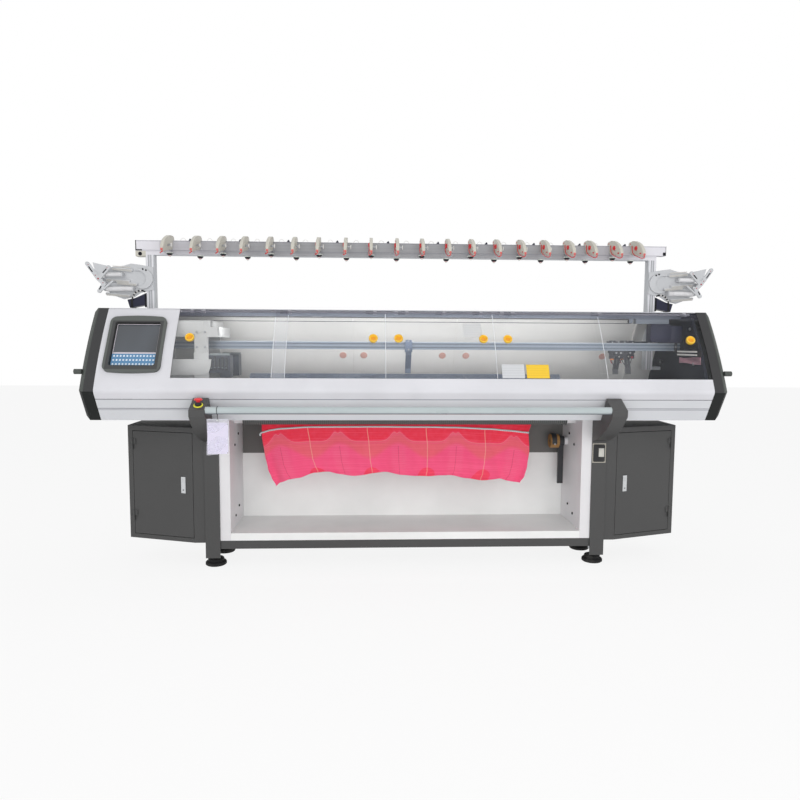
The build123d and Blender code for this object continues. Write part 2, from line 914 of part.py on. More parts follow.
def make_yarn_rails():
    rails = []
    half = yarn_rail_thickness / 2
    for y in rail_ys:
        rail = block(-end_frame_inner, end_frame_inner, y - half, y + half,
                     yarn_rail_bottom, yarn_rail_bottom + yarn_rail_height)
        for face, cut in rail_grooves(y, -end_frame_inner, end_frame_inner, 0):
            rail -= cut
        rails.append(rail)
    put(group(rails), "yarn_rails")


def carrier(x, width, rail_y, face, tip_shift, blocks):
    half = width / 2
    near = rail_y + face * (yarn_rail_thickness / 2 + slide_play)
    far = near + face * carrier_plate
    low = yarn_rail_bottom - carrier_drop
    y0 = min(near, far)
    y1 = max(near, far)
    shape = block(x - half, x + half, y0, y1, low, carrier_top - carrier_block_depth)
    for side, tongue in rail_grooves(rail_y, x - half, x + half, slide_play):
        if side == face:
            reach = slide_play * face
            shape += tongue + Pos(0, reach, 0) * tongue
    for shift in blocks:
        centre = x + shift * half
        b = carrier_block / 2
        shape += block(centre - b, centre + b, y0, y1, low - carrier_block, carrier_top)
    tip_y = mid_y + tip_shift * carrier_tip_pitch
    tip_z = bed_apex_z + carrier_tip_clear
    root_y = (near + far) / 2
    root_z = low + carrier_plate
    points = [
        (root_y - carrier_arm / 2, root_z),
        (root_y + carrier_arm / 2, root_z),
        (root_y + carrier_arm / 2, low - carrier_block / 2),
        (tip_y + carrier_tip_width / 2, tip_z + 2 * carrier_drop),
        (tip_y + carrier_tip_width / 2, tip_z),
        (tip_y - carrier_tip_width / 2, tip_z),
        (tip_y - carrier_tip_width / 2, tip_z + 2 * carrier_drop),
        (root_y - carrier_arm / 2, low - carrier_block / 2),
    ]
    arm_half = min(half, carrier_block / 2)
    return shape + prism_x(points, x - arm_half, x + arm_half)


def make_carriers():
    front = rail_ys[0]
    rear = rail_ys[1]
    put(carrier(grey_carrier_x, grey_carrier_width, front, -1, -1, ()), "yarn_carrier_1")
    put(carrier(black_carrier_x, black_carrier_width, front, 1, 0, (-0.6, 0.6)), "yarn_carrier_2")
    put(carrier(far_carrier_x, far_carrier_width, rear, -1, 1, (-0.5, 0.5)), "yarn_carrier_3")


def slab_section():
    n = sqrt(0.5)
    start_y = needle_front_y - slab_start * n
    start_z = start_y + bed_line
    end_y = start_y - slab_run * n
    end_z = end_y + bed_line
    low = slab_clear * n
    high = (slab_clear + slab_height) * n
    return [(start_y - low, start_z + low), (start_y - high, start_z + high),
            (end_y - high, end_z + high), (end_y - low, end_z + low)]


def carriage_side():
    x0 = carriage_x - slab_half
    x1 = carriage_x + slab_half
    side = prism_x(slab_section(), x0, x1)
    shoe_front = rail_front_y - slide_play - shoe_wall
    shoe_back = rail_back_y + slide_play + shoe_wall
    top = rail_z + rail_height + slide_play
    side += block(x0, x1, shoe_front, shoe_back, rail_z + 2, shoe_top)
    side -= block(x0, x1, rail_front_y - slide_play, rail_back_y + slide_play, rail_z, top)
    for sign in (-1, 1):
        x = carriage_x + sign * column_half
        w = column_width / 2
        foot = head_front + bed_line + (slab_clear + slab_height / 2) * sqrt(2)
        side += block(x - w, x + w, head_front, head_front + column_depth, foot, head_top - head_step)
    return side


def make_carriage():
    points = [
        (carriage_x - head_half, head_bottom),
        (carriage_x - head_half, head_top - head_step),
        (carriage_x - head_half + head_shoulder, head_top - head_step),
        (carriage_x - head_half + head_shoulder, head_top),
        (carriage_x + head_half - head_shoulder, head_top),
        (carriage_x + head_half - head_shoulder, head_top - head_step),
        (carriage_x + head_half, head_top - head_step),
        (carriage_x + head_half, head_bottom),
    ]
    head = prism_y(points, head_front, 2 * mid_y - head_front)
    side = carriage_side()
    frame = head + side + to_rear(side)
    clamp_top = belt_axis_z - pulley_radius - belt_thickness - skin_gap
    y0 = top_beam_front + skin + skin_gap
    frame += block(carriage_x - clamp_half, carriage_x + clamp_half, y0, y0 + belt_width,
                   head_top - 1, clamp_top)
    put(frame, "carriage_frame")


def changer(sign):
    start = column_half + column_width / 2
    y0 = head_front + 2
    y1 = y0 + changer_depth
    a = carriage_x + sign * start
    b = carriage_x + sign * changer_end
    unit = block(min(a, b), max(a, b), y0, y1, changer_bottom, changer_top)
    c = carriage_x + sign * (changer_end - brush_length)
    unit += block(min(c, b), max(c, b), y0, y1, changer_bottom - brush_drop, changer_bottom + 1)
    return unit


def make_changer():
    units = []
    for sign in (-1, 1):
        unit = changer(sign)
        units.append(unit)
        units.append(to_rear(unit))
    put(group(units), "yarn_changer")


def arm_leg():
    wall_y = (nose_y - body_bottom_y) / (nose_z - body_bottom_z)
    under_z = body_bottom_z - seam / 2
    under_y = arm_back_y + (arm_back_z - under_z) * -wall_y
    seat_y = body_bottom_y + bottom_lip + arm_clear
    leg_back = leg_front + leg_depth
    lines = [
        Line((leg_back, leg_bottom), (leg_back, beam_bottom_z)),
        Line((leg_back, beam_bottom_z), (seat_y, beam_bottom_z)),
        Line((seat_y, beam_bottom_z), (seat_y, under_z)),
        Line((seat_y, under_z), (under_y, under_z)),
        Line((under_y, under_z), (arm_back_y, arm_back_z)),
        Line((arm_back_y, arm_back_z), (arm_front_y, arm_front_z)),
        Line((arm_front_y, arm_front_z), (arm_front_y, arm_chin_z)),
        ThreePointArc((arm_front_y, arm_chin_z), (arm_sweep_y, arm_sweep_z), (leg_front, arm_root_z)),
        Line((leg_front, arm_root_z), (leg_front, leg_bottom)),
        Line((leg_front, leg_bottom), (leg_back, leg_bottom)),
    ]
    base = Plane(origin=(leg_inner, 0, 0), x_dir=(0, 1, 0), z_dir=(1, 0, 0))
    shape = extrude(base * make_face(lines), amount=leg_width)
    shape += block(leg_inner, leg_outer, leg_front, leg_front + leg_plate, leg_plate_bottom, leg_bottom + 1)
    bore_end = leg_inner + journal_length + bar_end_gap
    bore = rod_x(leg_inner - 1, bore_end, bar_y, bar_z, journal_radius + journal_play)
    return shape - bore


def make_stands():
    front = arm_leg()
    back_front = 2 * mid_y - leg_front - leg_depth
    back_rear = 2 * mid_y - leg_front
    leg = block(leg_inner, leg_outer, back_front, back_rear, leg_bottom, beam_bottom_z)
    leg_back = leg_front + leg_depth
    span = (leg_inner, leg_outer, leg_back - 1, back_front + 1)
    low = block(*span, leg_bottom, leg_bottom + tie_height)
    high = block(*span, beam_bottom_z - tie_height, beam_bottom_z)
    stand = front + leg + low + high
    hole_low = stop_ring_top - 2 * stop_shank_depth
    hole = rod_z(hole_low, stop_head_top, stop_x, stop_y, stop_shank_radius + skin_gap)
    put(group([to_left(stand) - hole, stand]), "stands")


def make_base():
    front = bin_front
    rails = []
    for y in (front, 2 * mid_y - front - rail_beam_depth):
        rail = block(-leg_inner, leg_inner, y, y + rail_beam_depth,
                     leg_bottom, leg_bottom + rail_beam_height)
        rails.append(rail)
    put(group(rails), "base_rails")
    feet = []
    x = leg_inner + leg_width / 2
    near = leg_front + leg_depth / 2
    for sx in (-x, x):
        for sy in (near, 2 * mid_y - near):
            foot = rod_z(0, foot_height, sx, sy, foot_radius)
            foot += rod_z(foot_height, foot_height + foot_step, sx, sy, foot_step_radius)
            foot += rod_z(foot_height, leg_bottom, sx, sy, foot_stem_radius)
            feet.append(foot)
    put(group(feet), "levelling_feet")


def make_bar():
    half = leg_inner - bar_end_gap
    bar = rod_x(-half, half, bar_y, bar_z, bar_radius)
    bar += rod_x(-half - journal_length, half + journal_length, bar_y, bar_z, journal_radius)
    put(bar, "operating_bar")


def make_stop_button():
    shank_low = stop_ring_top - stop_shank_depth
    arm = to_left(arm_leg())
    ring = rod_z(shank_low, stop_ring_top, stop_x, stop_y, stop_ring_radius) - arm
    ring = ring.solids().sort_by(Axis.Z)[-1]
    base = ring + rod_z(shank_low, stop_ring_top, stop_x, stop_y, stop_shank_radius)
    base -= rod_z(shank_low, stop_ring_top, stop_x, stop_y, stop_stem_radius + journal_play)
    put(base, "stop_button_base")
    stem = rod_z(shank_low + 2 * stop_travel, stop_head_bottom + 1, stop_x, stop_y, stop_stem_radius)
    head = rod_z(stop_head_bottom, stop_head_top, stop_x, stop_y, stop_radius)
    rim = head.edges().filter_by_position(Axis.Z, stop_head_top - 0.01, stop_head_top + 0.01)
    put(stem + fillet(rim, stop_travel), "stop_button")


def make_pouch():
    half = pouch_thickness / 2
    pouch = block(pouch_left, pouch_left + pouch_width, bar_y - half, bar_y + half, pouch_bottom, pouch_top)
    x = pouch_left + pouch_width / 2
    inner = bar_radius + skin_gap
    ring = rod_x(x - half, x + half, bar_y, bar_z, inner + pouch_loop)
    ring += block(x - half, x + half, bar_y - half, bar_y + half, pouch_top - 1, bar_z - inner)
    put(pouch + ring - rod_x(x - half, x + half, bar_y, bar_z, inner), "document_pouch")


def bin_side(sign):
    wall = bin_wall
    outer = leg_inner - cabinet_gap
    near = sign * bin_inner
    side = sign * (bin_inner + wall)
    far = sign * outer
    a = min(near, far)
    b = max(near, far)
    parts = block(min(near, side), max(near, side), bin_front, bin_back, bin_bottom, bin_top)
    parts += block(a, b, bin_front, bin_front + wall, bin_bottom, bin_top)
    parts += block(a, b, bin_front, bin_back, bin_bottom, bin_bottom + wall)
    if sign > 0:
        parts += rod_x(bin_inner - lever_boss_length, bin_inner + 1, lever_y, lever_z, lever_boss_radius)
        parts -= rod_x(bin_inner - lever_boss_length - 1, leg_inner, lever_y, lever_z,
                       lever_shaft_radius + journal_play)
    collar = roller_shaft_radius + roller_bearing / 2
    for y in roller_ys():
        start = sign * (roller_half + bar_end_gap)
        end = sign * (bin_inner + 1)
        parts += rod_x(min(start, end), max(start, end), y, roller_z, collar)
        through = sign * (bin_inner + wall + 1)
        parts -= rod_x(min(start, through), max(start, through), y, roller_z,
                       roller_shaft_radius + journal_play)
    return parts


def make_bin():
    wall = bin_wall
    parts = block(-bin_inner, bin_inner, bin_front, bin_back, bin_floor_z - wall, bin_floor_z)
    parts += block(-bin_inner, bin_inner, bin_front, bin_front + wall, bin_bottom, bin_floor_z)
    parts += block(-bin_inner, bin_inner, bin_back - wall, bin_back, bin_bottom, bin_back_top)
    put(parts, "fabric_bin")
    put(group([bin_side(-1), bin_side(1)]), "bin_sides")
    cover = block(-bin_inner, bin_inner, bin_back - wall, bin_back, bin_back_top, bin_top)
    put(cover, "take_down_cover")


def roller_ys():
    step = roller_radius + roller_nip / 2
    return (mid_y - step, mid_y + step)


def make_rollers():
    shaft_end = roller_half + bar_end_gap + (bin_inner - roller_half)
    for node, y in zip(("front_take_down_roller", "rear_take_down_roller"), roller_ys()):
        roller = rod_x(-roller_half, roller_half, y, roller_z, roller_radius)
        roller += rod_x(-shaft_end, shaft_end, y, roller_z, roller_shaft_radius)
        put(roller, node)


def make_fabric():
    half = fabric_thickness / 2
    top = bed_apex_z - bed_gap
    put(block(fabric_left, fabric_right, mid_y - half, mid_y + half, fabric_bottom, top), "knitted_fabric")


def make_lever():
    boss_end = bin_inner - lever_boss_length
    x0 = boss_end - bar_end_gap - lever_width
    x1 = boss_end - bar_end_gap
    shaft_start = x0 - disc_length
    hub = rod_x(x0, x1, lever_y, lever_z, lever_hub_radius)
    hub += rod_x(shaft_start, bin_inner, lever_y, lever_z, lever_shaft_radius)
    hub += block(x0, x1, lever_y - lever_depth / 2, lever_y + lever_depth / 2, lever_bottom, lever_z)
    put(hub, "release_lever")
    disc = rod_x(shaft_start, x0, lever_y, lever_z, disc_radius)
    disc -= rod_x(shaft_start, x0, lever_y, lever_z, lever_shaft_radius)
    put(disc, "release_disc")


def cabinet_start():
    return leg_outer + cabinet_gap


def cabinet_plan(inset):
    x0 = cabinet_start() + inset
    flat = cabinet_start() + cabinet_flat
    slope = (cabinet_corner_y - cabinet_front) / (cabinet_outer - flat)
    long = sqrt(1 + slope * slope)
    shift = inset * (long - slope)
    corner = cabinet_corner_y + inset * long - inset * slope
    knee_y = cabinet_front + inset
    knee_x = flat + (inset - inset * long) / slope
    return [(x0, knee_y), (knee_x, knee_y), (cabinet_outer - inset, corner),
            (cabinet_outer - inset, cabinet_back - inset), (x0, cabinet_back - inset)]


def door_frame():
    x0 = cabinet_start() + cabinet_flat
    run = cabinet_outer - x0
    rise = cabinet_corner_y - cabinet_front
    length = hypot(run, rise)
    return Plane(origin=(x0, cabinet_front, 0), x_dir=(run / length, rise / length, 0),
                 z_dir=(rise / length, -run / length, 0))


def on_door(s0, s1, z0, z1, n0, n1):
    frame = door_frame()
    shape = Pos((s0 + s1) / 2, (z0 + z1) / 2, (n0 + n1) / 2) * Box(s1 - s0, z1 - z0, n1 - n0)
    return frame * shape


def on_door_pin(s, n, z0, z1, radius):
    return door_frame() * Pos(s, (z0 + z1) / 2, n) * Rot(90, 0, 0) * Cylinder(radius, z1 - z0)


def door_hinge_s():
    return door_start + door_width + door_gap / 2


def make_cabinet():
    wall = cabinet_wall
    outer = prism_z(cabinet_plan(0), cabinet_bottom, cabinet_top)
    inner = prism_z(cabinet_plan(wall), cabinet_bottom + wall, cabinet_top - wall)
    cabinet = outer - inner
    s0 = door_start - door_gap
    s1 = door_start + door_width + door_gap
    cabinet -= on_door(s0, s1, door_bottom - door_gap, door_top + door_gap, -2 * wall, wall)
    s = door_hinge_s()
    for z in (hinge_low_z, hinge_high_z):
        top = z + hinge_knuckle_length
        cabinet += on_door(s + door_gap / 2, s + hinge_leaf, z, top, 0, hinge_leaf_thickness)
        cabinet += on_door_pin(s, pin_axis_out, z, top, pin_knuckle_radius)
        cabinet += on_door_pin(s, pin_axis_out, z, top + hinge_knuckle_length, pin_radius)
    put(cabinet, "right_cabinet")
    put(to_left(cabinet), "left_cabinet")


def latch_span():
    return door_start + latch_offset, door_start + latch_offset + latch_width


def make_door():
    s1 = door_start + door_width
    door = on_door(door_start, s1, door_bottom, door_top, -door_thickness, 0)
    s = door_hinge_s()
    for z in (hinge_low_z, hinge_high_z):
        z0 = z + hinge_knuckle_length + lug_gap
        z1 = z0 + hinge_knuckle_length
        door += on_door(s - hinge_leaf, s - door_gap / 2, z0, z1, 0, hinge_leaf_thickness)
        door += on_door_pin(s, pin_axis_out, z0, z1, pin_knuckle_radius)
        door -= on_door_pin(s, pin_axis_out, z0, z1, pin_radius + hinge_play)
    a, b = latch_span()
    top = latch_bottom + latch_height
    gap = latch_pocket_gap
    door -= on_door(a - gap, b + gap, latch_bottom - gap, top + gap, -latch_pocket_depth, 1)
    door -= latch_pin(top - latch_thickness, pin_radius + hinge_play, gap + lug_gap)
    put(door, "right_door")
    put(to_left(door), "left_door")


def latch_pin(z, radius, extra):
    a, b = latch_span()
    length = latch_width + 2 * latch_pocket_gap + 2 * extra
    return door_frame() * Pos((a + b) / 2, z, -latch_axis_in) * Rot(0, 90, 0) * Cylinder(radius, length)


def make_latch():
    a, b = latch_span()
    pivot = latch_bottom + latch_height - latch_thickness
    latch = on_door(a, b, latch_bottom, pivot, -latch_axis_in, latch_thickness - latch_axis_in)
    latch += latch_pin(pivot, latch_thickness, -latch_pocket_gap)
    latch += latch_pin(pivot, pin_radius, latch_pocket_gap)
    put(latch, "right_latch")
    put(to_left(latch), "left_latch")


def feeder_plate_shape():
    left = post_x - post_size / 2 + plate_inset
    side = plate_margin_side
    points = [
        (left, lower_roller_z),
        (left, disc_z + plate_left_rise),
        (disc_x + plate_corner_in, disc_z + plate_left_rise + side),
        (disc_x + plate_left_rise, disc_z + plate_crown_rise),
        (upper_roller_start, disc_z + plate_crown_rise - side),
        (upper_roller_end - plate_corner_in, disc_z + plate_right_rise),
        (upper_roller_end + side, upper_roller_z),
        (lower_roller_end + side, lower_roller_z),
        (lower_roller_end - plate_corner_in, lower_roller_z - plate_corner_drop),
        (upper_roller_start, lower_roller_z - plate_low_drop),
        (lower_roller_start, lower_roller_z - plate_low_drop + side),
        (disc_x + side, lower_roller_z - plate_corner_in),
    ]
    return prism_y(points, feeder_front, feeder_front + feeder_plate)


def roller_brackets(x0, x1, z, radius):
    parts = []
    for x, side in ((x0, -1), (x1, 1)):
        a = x + side * feed_end_gap
        b = a + side * feed_bracket
        body_part = block(min(a, b), max(a, b), feed_roller_y - radius, feeder_front + 1,
                          z - radius, z + radius)
        bore = rod_x(min(a, b) - 1, max(a, b) + 1, feed_roller_y, z, feed_journal_radius + journal_play)
        parts.append(body_part - bore)
    return parts


def limb(points, width, y0, y1):
    shape = None
    for (xa, za), (xb, zb) in zip(points, points[1:]):
        length = hypot(xb - xa, zb - za)
        angle = degrees(atan2(zb - za, xb - xa))
        middle = Pos((xa + xb) / 2, (y0 + y1) / 2, (za + zb) / 2)
        piece = middle * Rot(0, -angle, 0) * Box(length, y1 - y0, width)
        piece += rod_y(y0, y1, xa, za, width / 2)
        piece += rod_y(y0, y1, xb, zb, width / 2)
        shape = piece if shape is None else shape + piece
    return shape


def side_feeder():
    front = feeder_front
    plate = feeder_plate_shape()
    crescent = rod_y(front - disc_plate_thickness, front + 1, disc_x, disc_z, disc_plate_radius)
    cut_x = disc_x + disc_cut_shift
    crescent -= rod_y(front - disc_plate_thickness - 1, front + 1, cut_x, disc_z, disc_cut_radius)
    plate += crescent
    upper = (upper_roller_start, upper_roller_end, upper_roller_z, upper_roller_radius)
    lower = (lower_roller_start, lower_roller_end, lower_roller_z, lower_roller_radius)
    for bracket in roller_brackets(*upper) + roller_brackets(*lower):
        plate += bracket
    depth = front - comb_depth
    rows = [
        (lower_roller_start, upper_roller_end, upper_roller_z + comb_above),
        (upper_roller_start, upper_roller_end, upper_roller_z - comb_below),
        (lower_roller_start, lower_roller_end, lower_roller_z + comb_above),
        (upper_roller_start, lower_roller_end, lower_roller_z - comb_below),
    ]
    for (x0, x1, z), (first, last) in zip(rows, comb_ends):
        plate += limb([(x0 + first, z), (x1 + last, z + comb_tilt)], comb_height, depth, front + 1)
    yoke_y = feed_roller_y - lower_roller_radius - yoke_gap
    tip = (upper_roller_end + yoke_tip_reach, upper_roller_z + yoke_tip_rise)
    post = (upper_roller_end + yoke_post_reach, upper_roller_z - yoke_post_drop)
    top = (upper_roller_end - yoke_top_inset, upper_roller_z + yoke_top_rise)
    knee = (lower_roller_end + yoke_gap, lower_roller_z + yoke_low_rise)
    foot = (lower_roller_end + yoke_foot_reach, lower_roller_z - yoke_foot_drop)
    for points in ([top, post, tip], [post, knee, foot]):
        plate += limb(points, yoke_width, yoke_y - yoke_thickness, yoke_y)
    plate += rod_y(yoke_y - 1, front + feeder_plate, post[0], post[1], yoke_width / 2)
    seat = (upper_roller_end + yoke_gap, upper_roller_z - yoke_width)
    plate += limb([seat, post], yoke_width, front, front + feeder_plate)
    tail = (upper_roller_start + tail_start, lower_roller_z + tail_start)
    tail_tip = (lower_roller_end + tail_end, lower_roller_z - tail_drop)
    plate += limb([tail, tail_tip], yoke_thickness, yoke_y - yoke_thickness, yoke_y)
    plate += rod_y(yoke_y - 1, front + 1, tail[0], tail[1], yoke_thickness / 2)
    sheet = [
        (top[0] + yoke_gap, top[1] + sheet_rise),
        (tip[0] - sheet_back, tip[1] + sheet_rise),
        (post[0] + sheet_rise, post[1] + sheet_rise),
    ]
    plate += prism_y(sheet, yoke_y - 1 - sheet_thickness, yoke_y - 1)
    return plate


def feed_roller(x0, x1, z, radius):
    roller = rod_x(x0, x1, feed_roller_y, z, radius)
    reach = feed_end_gap + feed_journal_length
    return roller + rod_x(x0 - reach, x1 + reach, feed_roller_y, z, feed_journal_radius)


def make_side_feeders():
    feeder = side_feeder()
    put(group([to_left(feeder), feeder]), "side_feeders")
    upper = feed_roller(upper_roller_start, upper_roller_end, upper_roller_z, upper_roller_radius)
    lower = feed_roller(lower_roller_start, lower_roller_end, lower_roller_z, lower_roller_radius)
    put(upper, "right_upper_feed_roller")
    put(lower, "right_lower_feed_roller")
    put(to_left(upper), "left_upper_feed_roller")
    put(to_left(lower), "left_lower_feed_roller")


def feed_motor():
    left = post_x + post_size / 2 + skin_gap
    bottom = roof_top_z + feed_motor_rise
    points = [
        (left, bottom + feed_motor_shoulder),
        (left, lower_roller_z - feed_motor_shoulder),
        (lower_roller_start, lower_roller_z - feed_motor_drop),
        (upper_roller_start - feed_motor_top_inset, lower_roller_z - feed_motor_low_drop),
        (upper_roller_start - feed_motor_foot_inset, bottom),
    ]
    y0 = feeder_front + feeder_plate + skin_gap
    return prism_y(points, y0, y0 + feed_motor_depth)


def make_drive_units():
    x0 = cabinet_start() + cabinet_flat
    back = cabinet_back - cabinet_wall
    module = block(x0, x0 + module_width, back - module_depth, back, cabinet_bottom + cabinet_wall,
                   cabinet_bottom + cabinet_wall + module_height)
    motor_y = top_beam_front - motor_depth / 4
    motor = block(motor_start, motor_end, motor_y, motor_y + motor_depth, motor_bottom,
                  belt_axis_z - pulley_radius - belt_thickness)
    feeder = feed_motor()
    put(group([module, to_left(module), motor, feeder, to_left(feeder)]), "drive_units")


def make_yarn_stand():
    half = post_size / 2
    bar = block(-post_x - half, post_x + half, post_front, post_back, yarn_bar_bottom, yarn_bar_top)
    stub_low = yarn_bar_top - stub_height
    bar += block(-stub_end, stub_end, post_front, post_back, stub_low, yarn_bar_top)
    w = yarn_bar_wall
    bar -= block(-stub_end - 1, stub_end + 1, post_front + w, post_back - w, stub_low + w, yarn_bar_top - w)
    for sign in (-1, 1):
        x = sign * post_x
        foot = sign * end_frame_inner
        bar += block(x - half, x + half, post_front, post_back, post_foot_z, yarn_bar_bottom + 1)
        bar += block(min(x, foot), max(x, foot), post_front, post_back,
                     post_foot_z, post_foot_z + post_foot_height)
    box_end = skin_gap - post_x - half
    box_low = stub_low - junction_height
    bar += block(box_end - junction_width, box_end, post_front, post_back, box_low, stub_low + 1)
    put(bar, "yarn_stand")


def tension_unit():
    front = post_front - unit_reach
    back = post_front + unit_tail
    w = unit_width / 2
    seat = post_front - skin_gap
    points = [
        (back, yarn_bar_top),
        (back, yarn_bar_top + unit_hook_rise),
        (post_front - unit_crown, unit_top_z),
        (front + unit_brow, unit_top_z - unit_brow_drop),
        (front, unit_top_z - unit_nose_drop),
        (front + unit_chin, unit_low_z + unit_edge),
        (post_front - unit_belly, unit_low_z),
        (seat, unit_low_z + unit_edge),
        (seat, yarn_bar_top),
    ]
    unit = prism_x(points, -w, w)
    dial_y = front + unit_dial_back
    dial_z = unit_top_z - unit_dial_pitch
    reach = w + unit_dial_width
    unit += rod_x(-reach, reach, dial_y, dial_z, unit_dial_radius)
    unit += rod_x(-reach, reach, dial_y + unit_dial_pitch, dial_z + unit_edge, unit_dial_radius / 2)
    arm = Box(w, unit_arm_length, 2 * unit_arm_radius)
    tip = Pos(0, front + unit_arm_radius - unit_chin, unit_low_z + unit_chin)
    arm = tip * Rot(unit_arm_tilt, 0, 0) * arm
    return unit + arm


def unit_places():
    return [-unit_half_span + i * unit_pitch + unit_shifts[i % len(unit_shifts)] for i in range(unit_count)]


def make_tension_units():
    unit = tension_unit()
    put(group([Pos(x, 0, 0) * unit for x in unit_places()]), "tension_units")


def yarn_cup(x, y, top):
    cup = rod_z(top - cup_height, top, x, y, cup_radius)
    return cup + rod_z(top - cup_height - cup_tip, top, x, y, cup_tip)


def make_cups():
    cups = []
    for i, x in enumerate(unit_places()):
        if i % 2:
            cups.append(yarn_cup(x, cup_rear_y, yarn_bar_bottom))
        else:
            top = yarn_bar_bottom + cup_front_rise
            stem = rod_y(cup_front_y, post_front, x, top - cup_stem_radius - 1, cup_stem_radius)
            cups.append(yarn_cup(x, cup_front_y, top) + stem)
    put(group(cups), "yarn_cups")


make_windows()
make_rear_covers()
make_roof()
make_control_panel()
make_front_cover()
make_lower_panel()
make_rear_casing()
make_end_caps()
make_end_frames()
make_beds()
make_beam()
make_top_beam()
make_belt()
make_yarn_rails()
make_carriers()
make_carriage()
make_changer()
make_stands()
make_base()
make_bar()
make_stop_button()
make_pouch()
make_bin()
make_rollers()
make_fabric()
make_lever()
make_cabinet()
make_door()
make_latch()
make_side_feeders()
make_drive_units()
make_yarn_stand()
make_tension_units()
make_cups()
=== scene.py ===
from math import cos, pi, radians, sin, sqrt
from random import Random

import bmesh
import bpy
from mathutils import Matrix, Vector


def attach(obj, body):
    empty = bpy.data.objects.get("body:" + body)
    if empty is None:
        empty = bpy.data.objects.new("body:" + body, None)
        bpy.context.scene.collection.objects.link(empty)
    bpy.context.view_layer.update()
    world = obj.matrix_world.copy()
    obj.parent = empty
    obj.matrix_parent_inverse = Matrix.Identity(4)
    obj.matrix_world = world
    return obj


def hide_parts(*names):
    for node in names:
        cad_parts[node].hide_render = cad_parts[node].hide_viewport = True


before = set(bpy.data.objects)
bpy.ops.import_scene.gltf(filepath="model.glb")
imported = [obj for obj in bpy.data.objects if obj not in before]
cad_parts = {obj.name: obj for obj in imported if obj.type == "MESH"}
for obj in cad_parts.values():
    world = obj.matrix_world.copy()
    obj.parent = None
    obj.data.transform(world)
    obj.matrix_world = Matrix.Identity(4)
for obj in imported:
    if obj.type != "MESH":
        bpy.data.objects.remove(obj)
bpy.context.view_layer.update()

# VIEWPOINT
# A standing person's view, almost square on to the front and a little left of the middle.
# Its place, turn and lens are the ones that lay the machine over the photograph.
def put(name, data):
    """Sets a lens, a lamp or a mesh down in the scene."""
    thing = bpy.data.objects.new(name, data)
    bpy.context.collection.objects.link(thing)
    return thing


eye = Vector((-0.21469, -3.88163, 1.28728))
yaw, pitch, roll = -0.04501, -0.08517, -0.0056
ahead = Vector((-sin(yaw) * cos(pitch), cos(yaw) * cos(pitch), sin(pitch)))
level_right = Vector((cos(yaw), sin(yaw), 0.0))
level_up = level_right.cross(ahead)
view_right = level_right * cos(roll) - level_up * sin(roll)
view_up = level_right * sin(roll) + level_up * cos(roll)
lens = bpy.data.cameras.new("viewpoint")
lens.sensor_width, lens.lens, lens.clip_end = 36.0, 29.735, 60.0
viewpoint = put("viewpoint", lens)
turn = Matrix((view_right, view_up, -ahead)).transposed().to_4x4()
viewpoint.matrix_world = Matrix.Translation(eye) @ turn
bpy.context.scene.camera = viewpoint
bpy.context.scene.view_settings.view_transform = "Standard"


# STUDIO
# A pale floor in a bright white room, with three broad soft lamps in front, one above, and a
# strip lamp inside the machine that lights the beds.
class Wire:
    """An output in a node tree. A sum or product written with it adds the Math nodes for it."""

    def __init__(self, graph, socket):
        self.graph, self.socket = graph, socket

    def also(self, name):
        return Wire(self.graph, self.socket.node.outputs[name])

    def maths(self, operation, first, second=0.0):
        return self.graph.node("ShaderNodeMath", {"operation": operation}, {0: first, 1: second})

    def of(self, operation):
        return self.maths(operation, self)

    def __add__(self, other):
        return self.maths("ADD", self, other)

    def __radd__(self, other):
        return self.maths("ADD", other, self)

    def __sub__(self, other):
        return self.maths("SUBTRACT", self, other)

    def __rsub__(self, other):
        return self.maths("SUBTRACT", other, self)

    def __mul__(self, other):
        return self.maths("MULTIPLY", self, other)

    def __rmul__(self, other):
        return self.maths("MULTIPLY", other, self)

    def __truediv__(self, other):
        return self.maths("DIVIDE", self, other)

    def __rpow__(self, other):
        return self.maths("POWER", other, self)

    def __abs__(self):
        return self.of("ABSOLUTE")

    def __gt__(self, other):
        return self.maths("GREATER_THAN", self, other)

    def __lt__(self, other):
        return self.maths("LESS_THAN", self, other)


class Graph:
    """A node tree that is filled by naming each node's type, settings and sockets."""

    def __init__(self, tree):
        self.tree = tree

    def node(self, kind, settings={}, sockets={}, out=0):
        made_node = self.tree.nodes.new(kind)
        for name, value in settings.items():
            setattr(made_node, name, value)
        for name, value in sockets.items():
            if isinstance(value, Wire):
                self.tree.links.new(value.socket, made_node.inputs[name])
            else:
                made_node.inputs[name].default_value = value
        return Wire(self, made_node.outputs[out]) if made_node.outputs else None

    def seen(self):
        """1 for a ray from the camera, straight or by way of gloss or glass, and 0 for light."""
        straight = self.node("ShaderNodeLightPath", out="Is Camera Ray")
        mirrored = straight.also("Is Glossy Ray") + straight.also("Is Transmission Ray")
        return straight.maths("MINIMUM", straight + mirrored, 1.0)


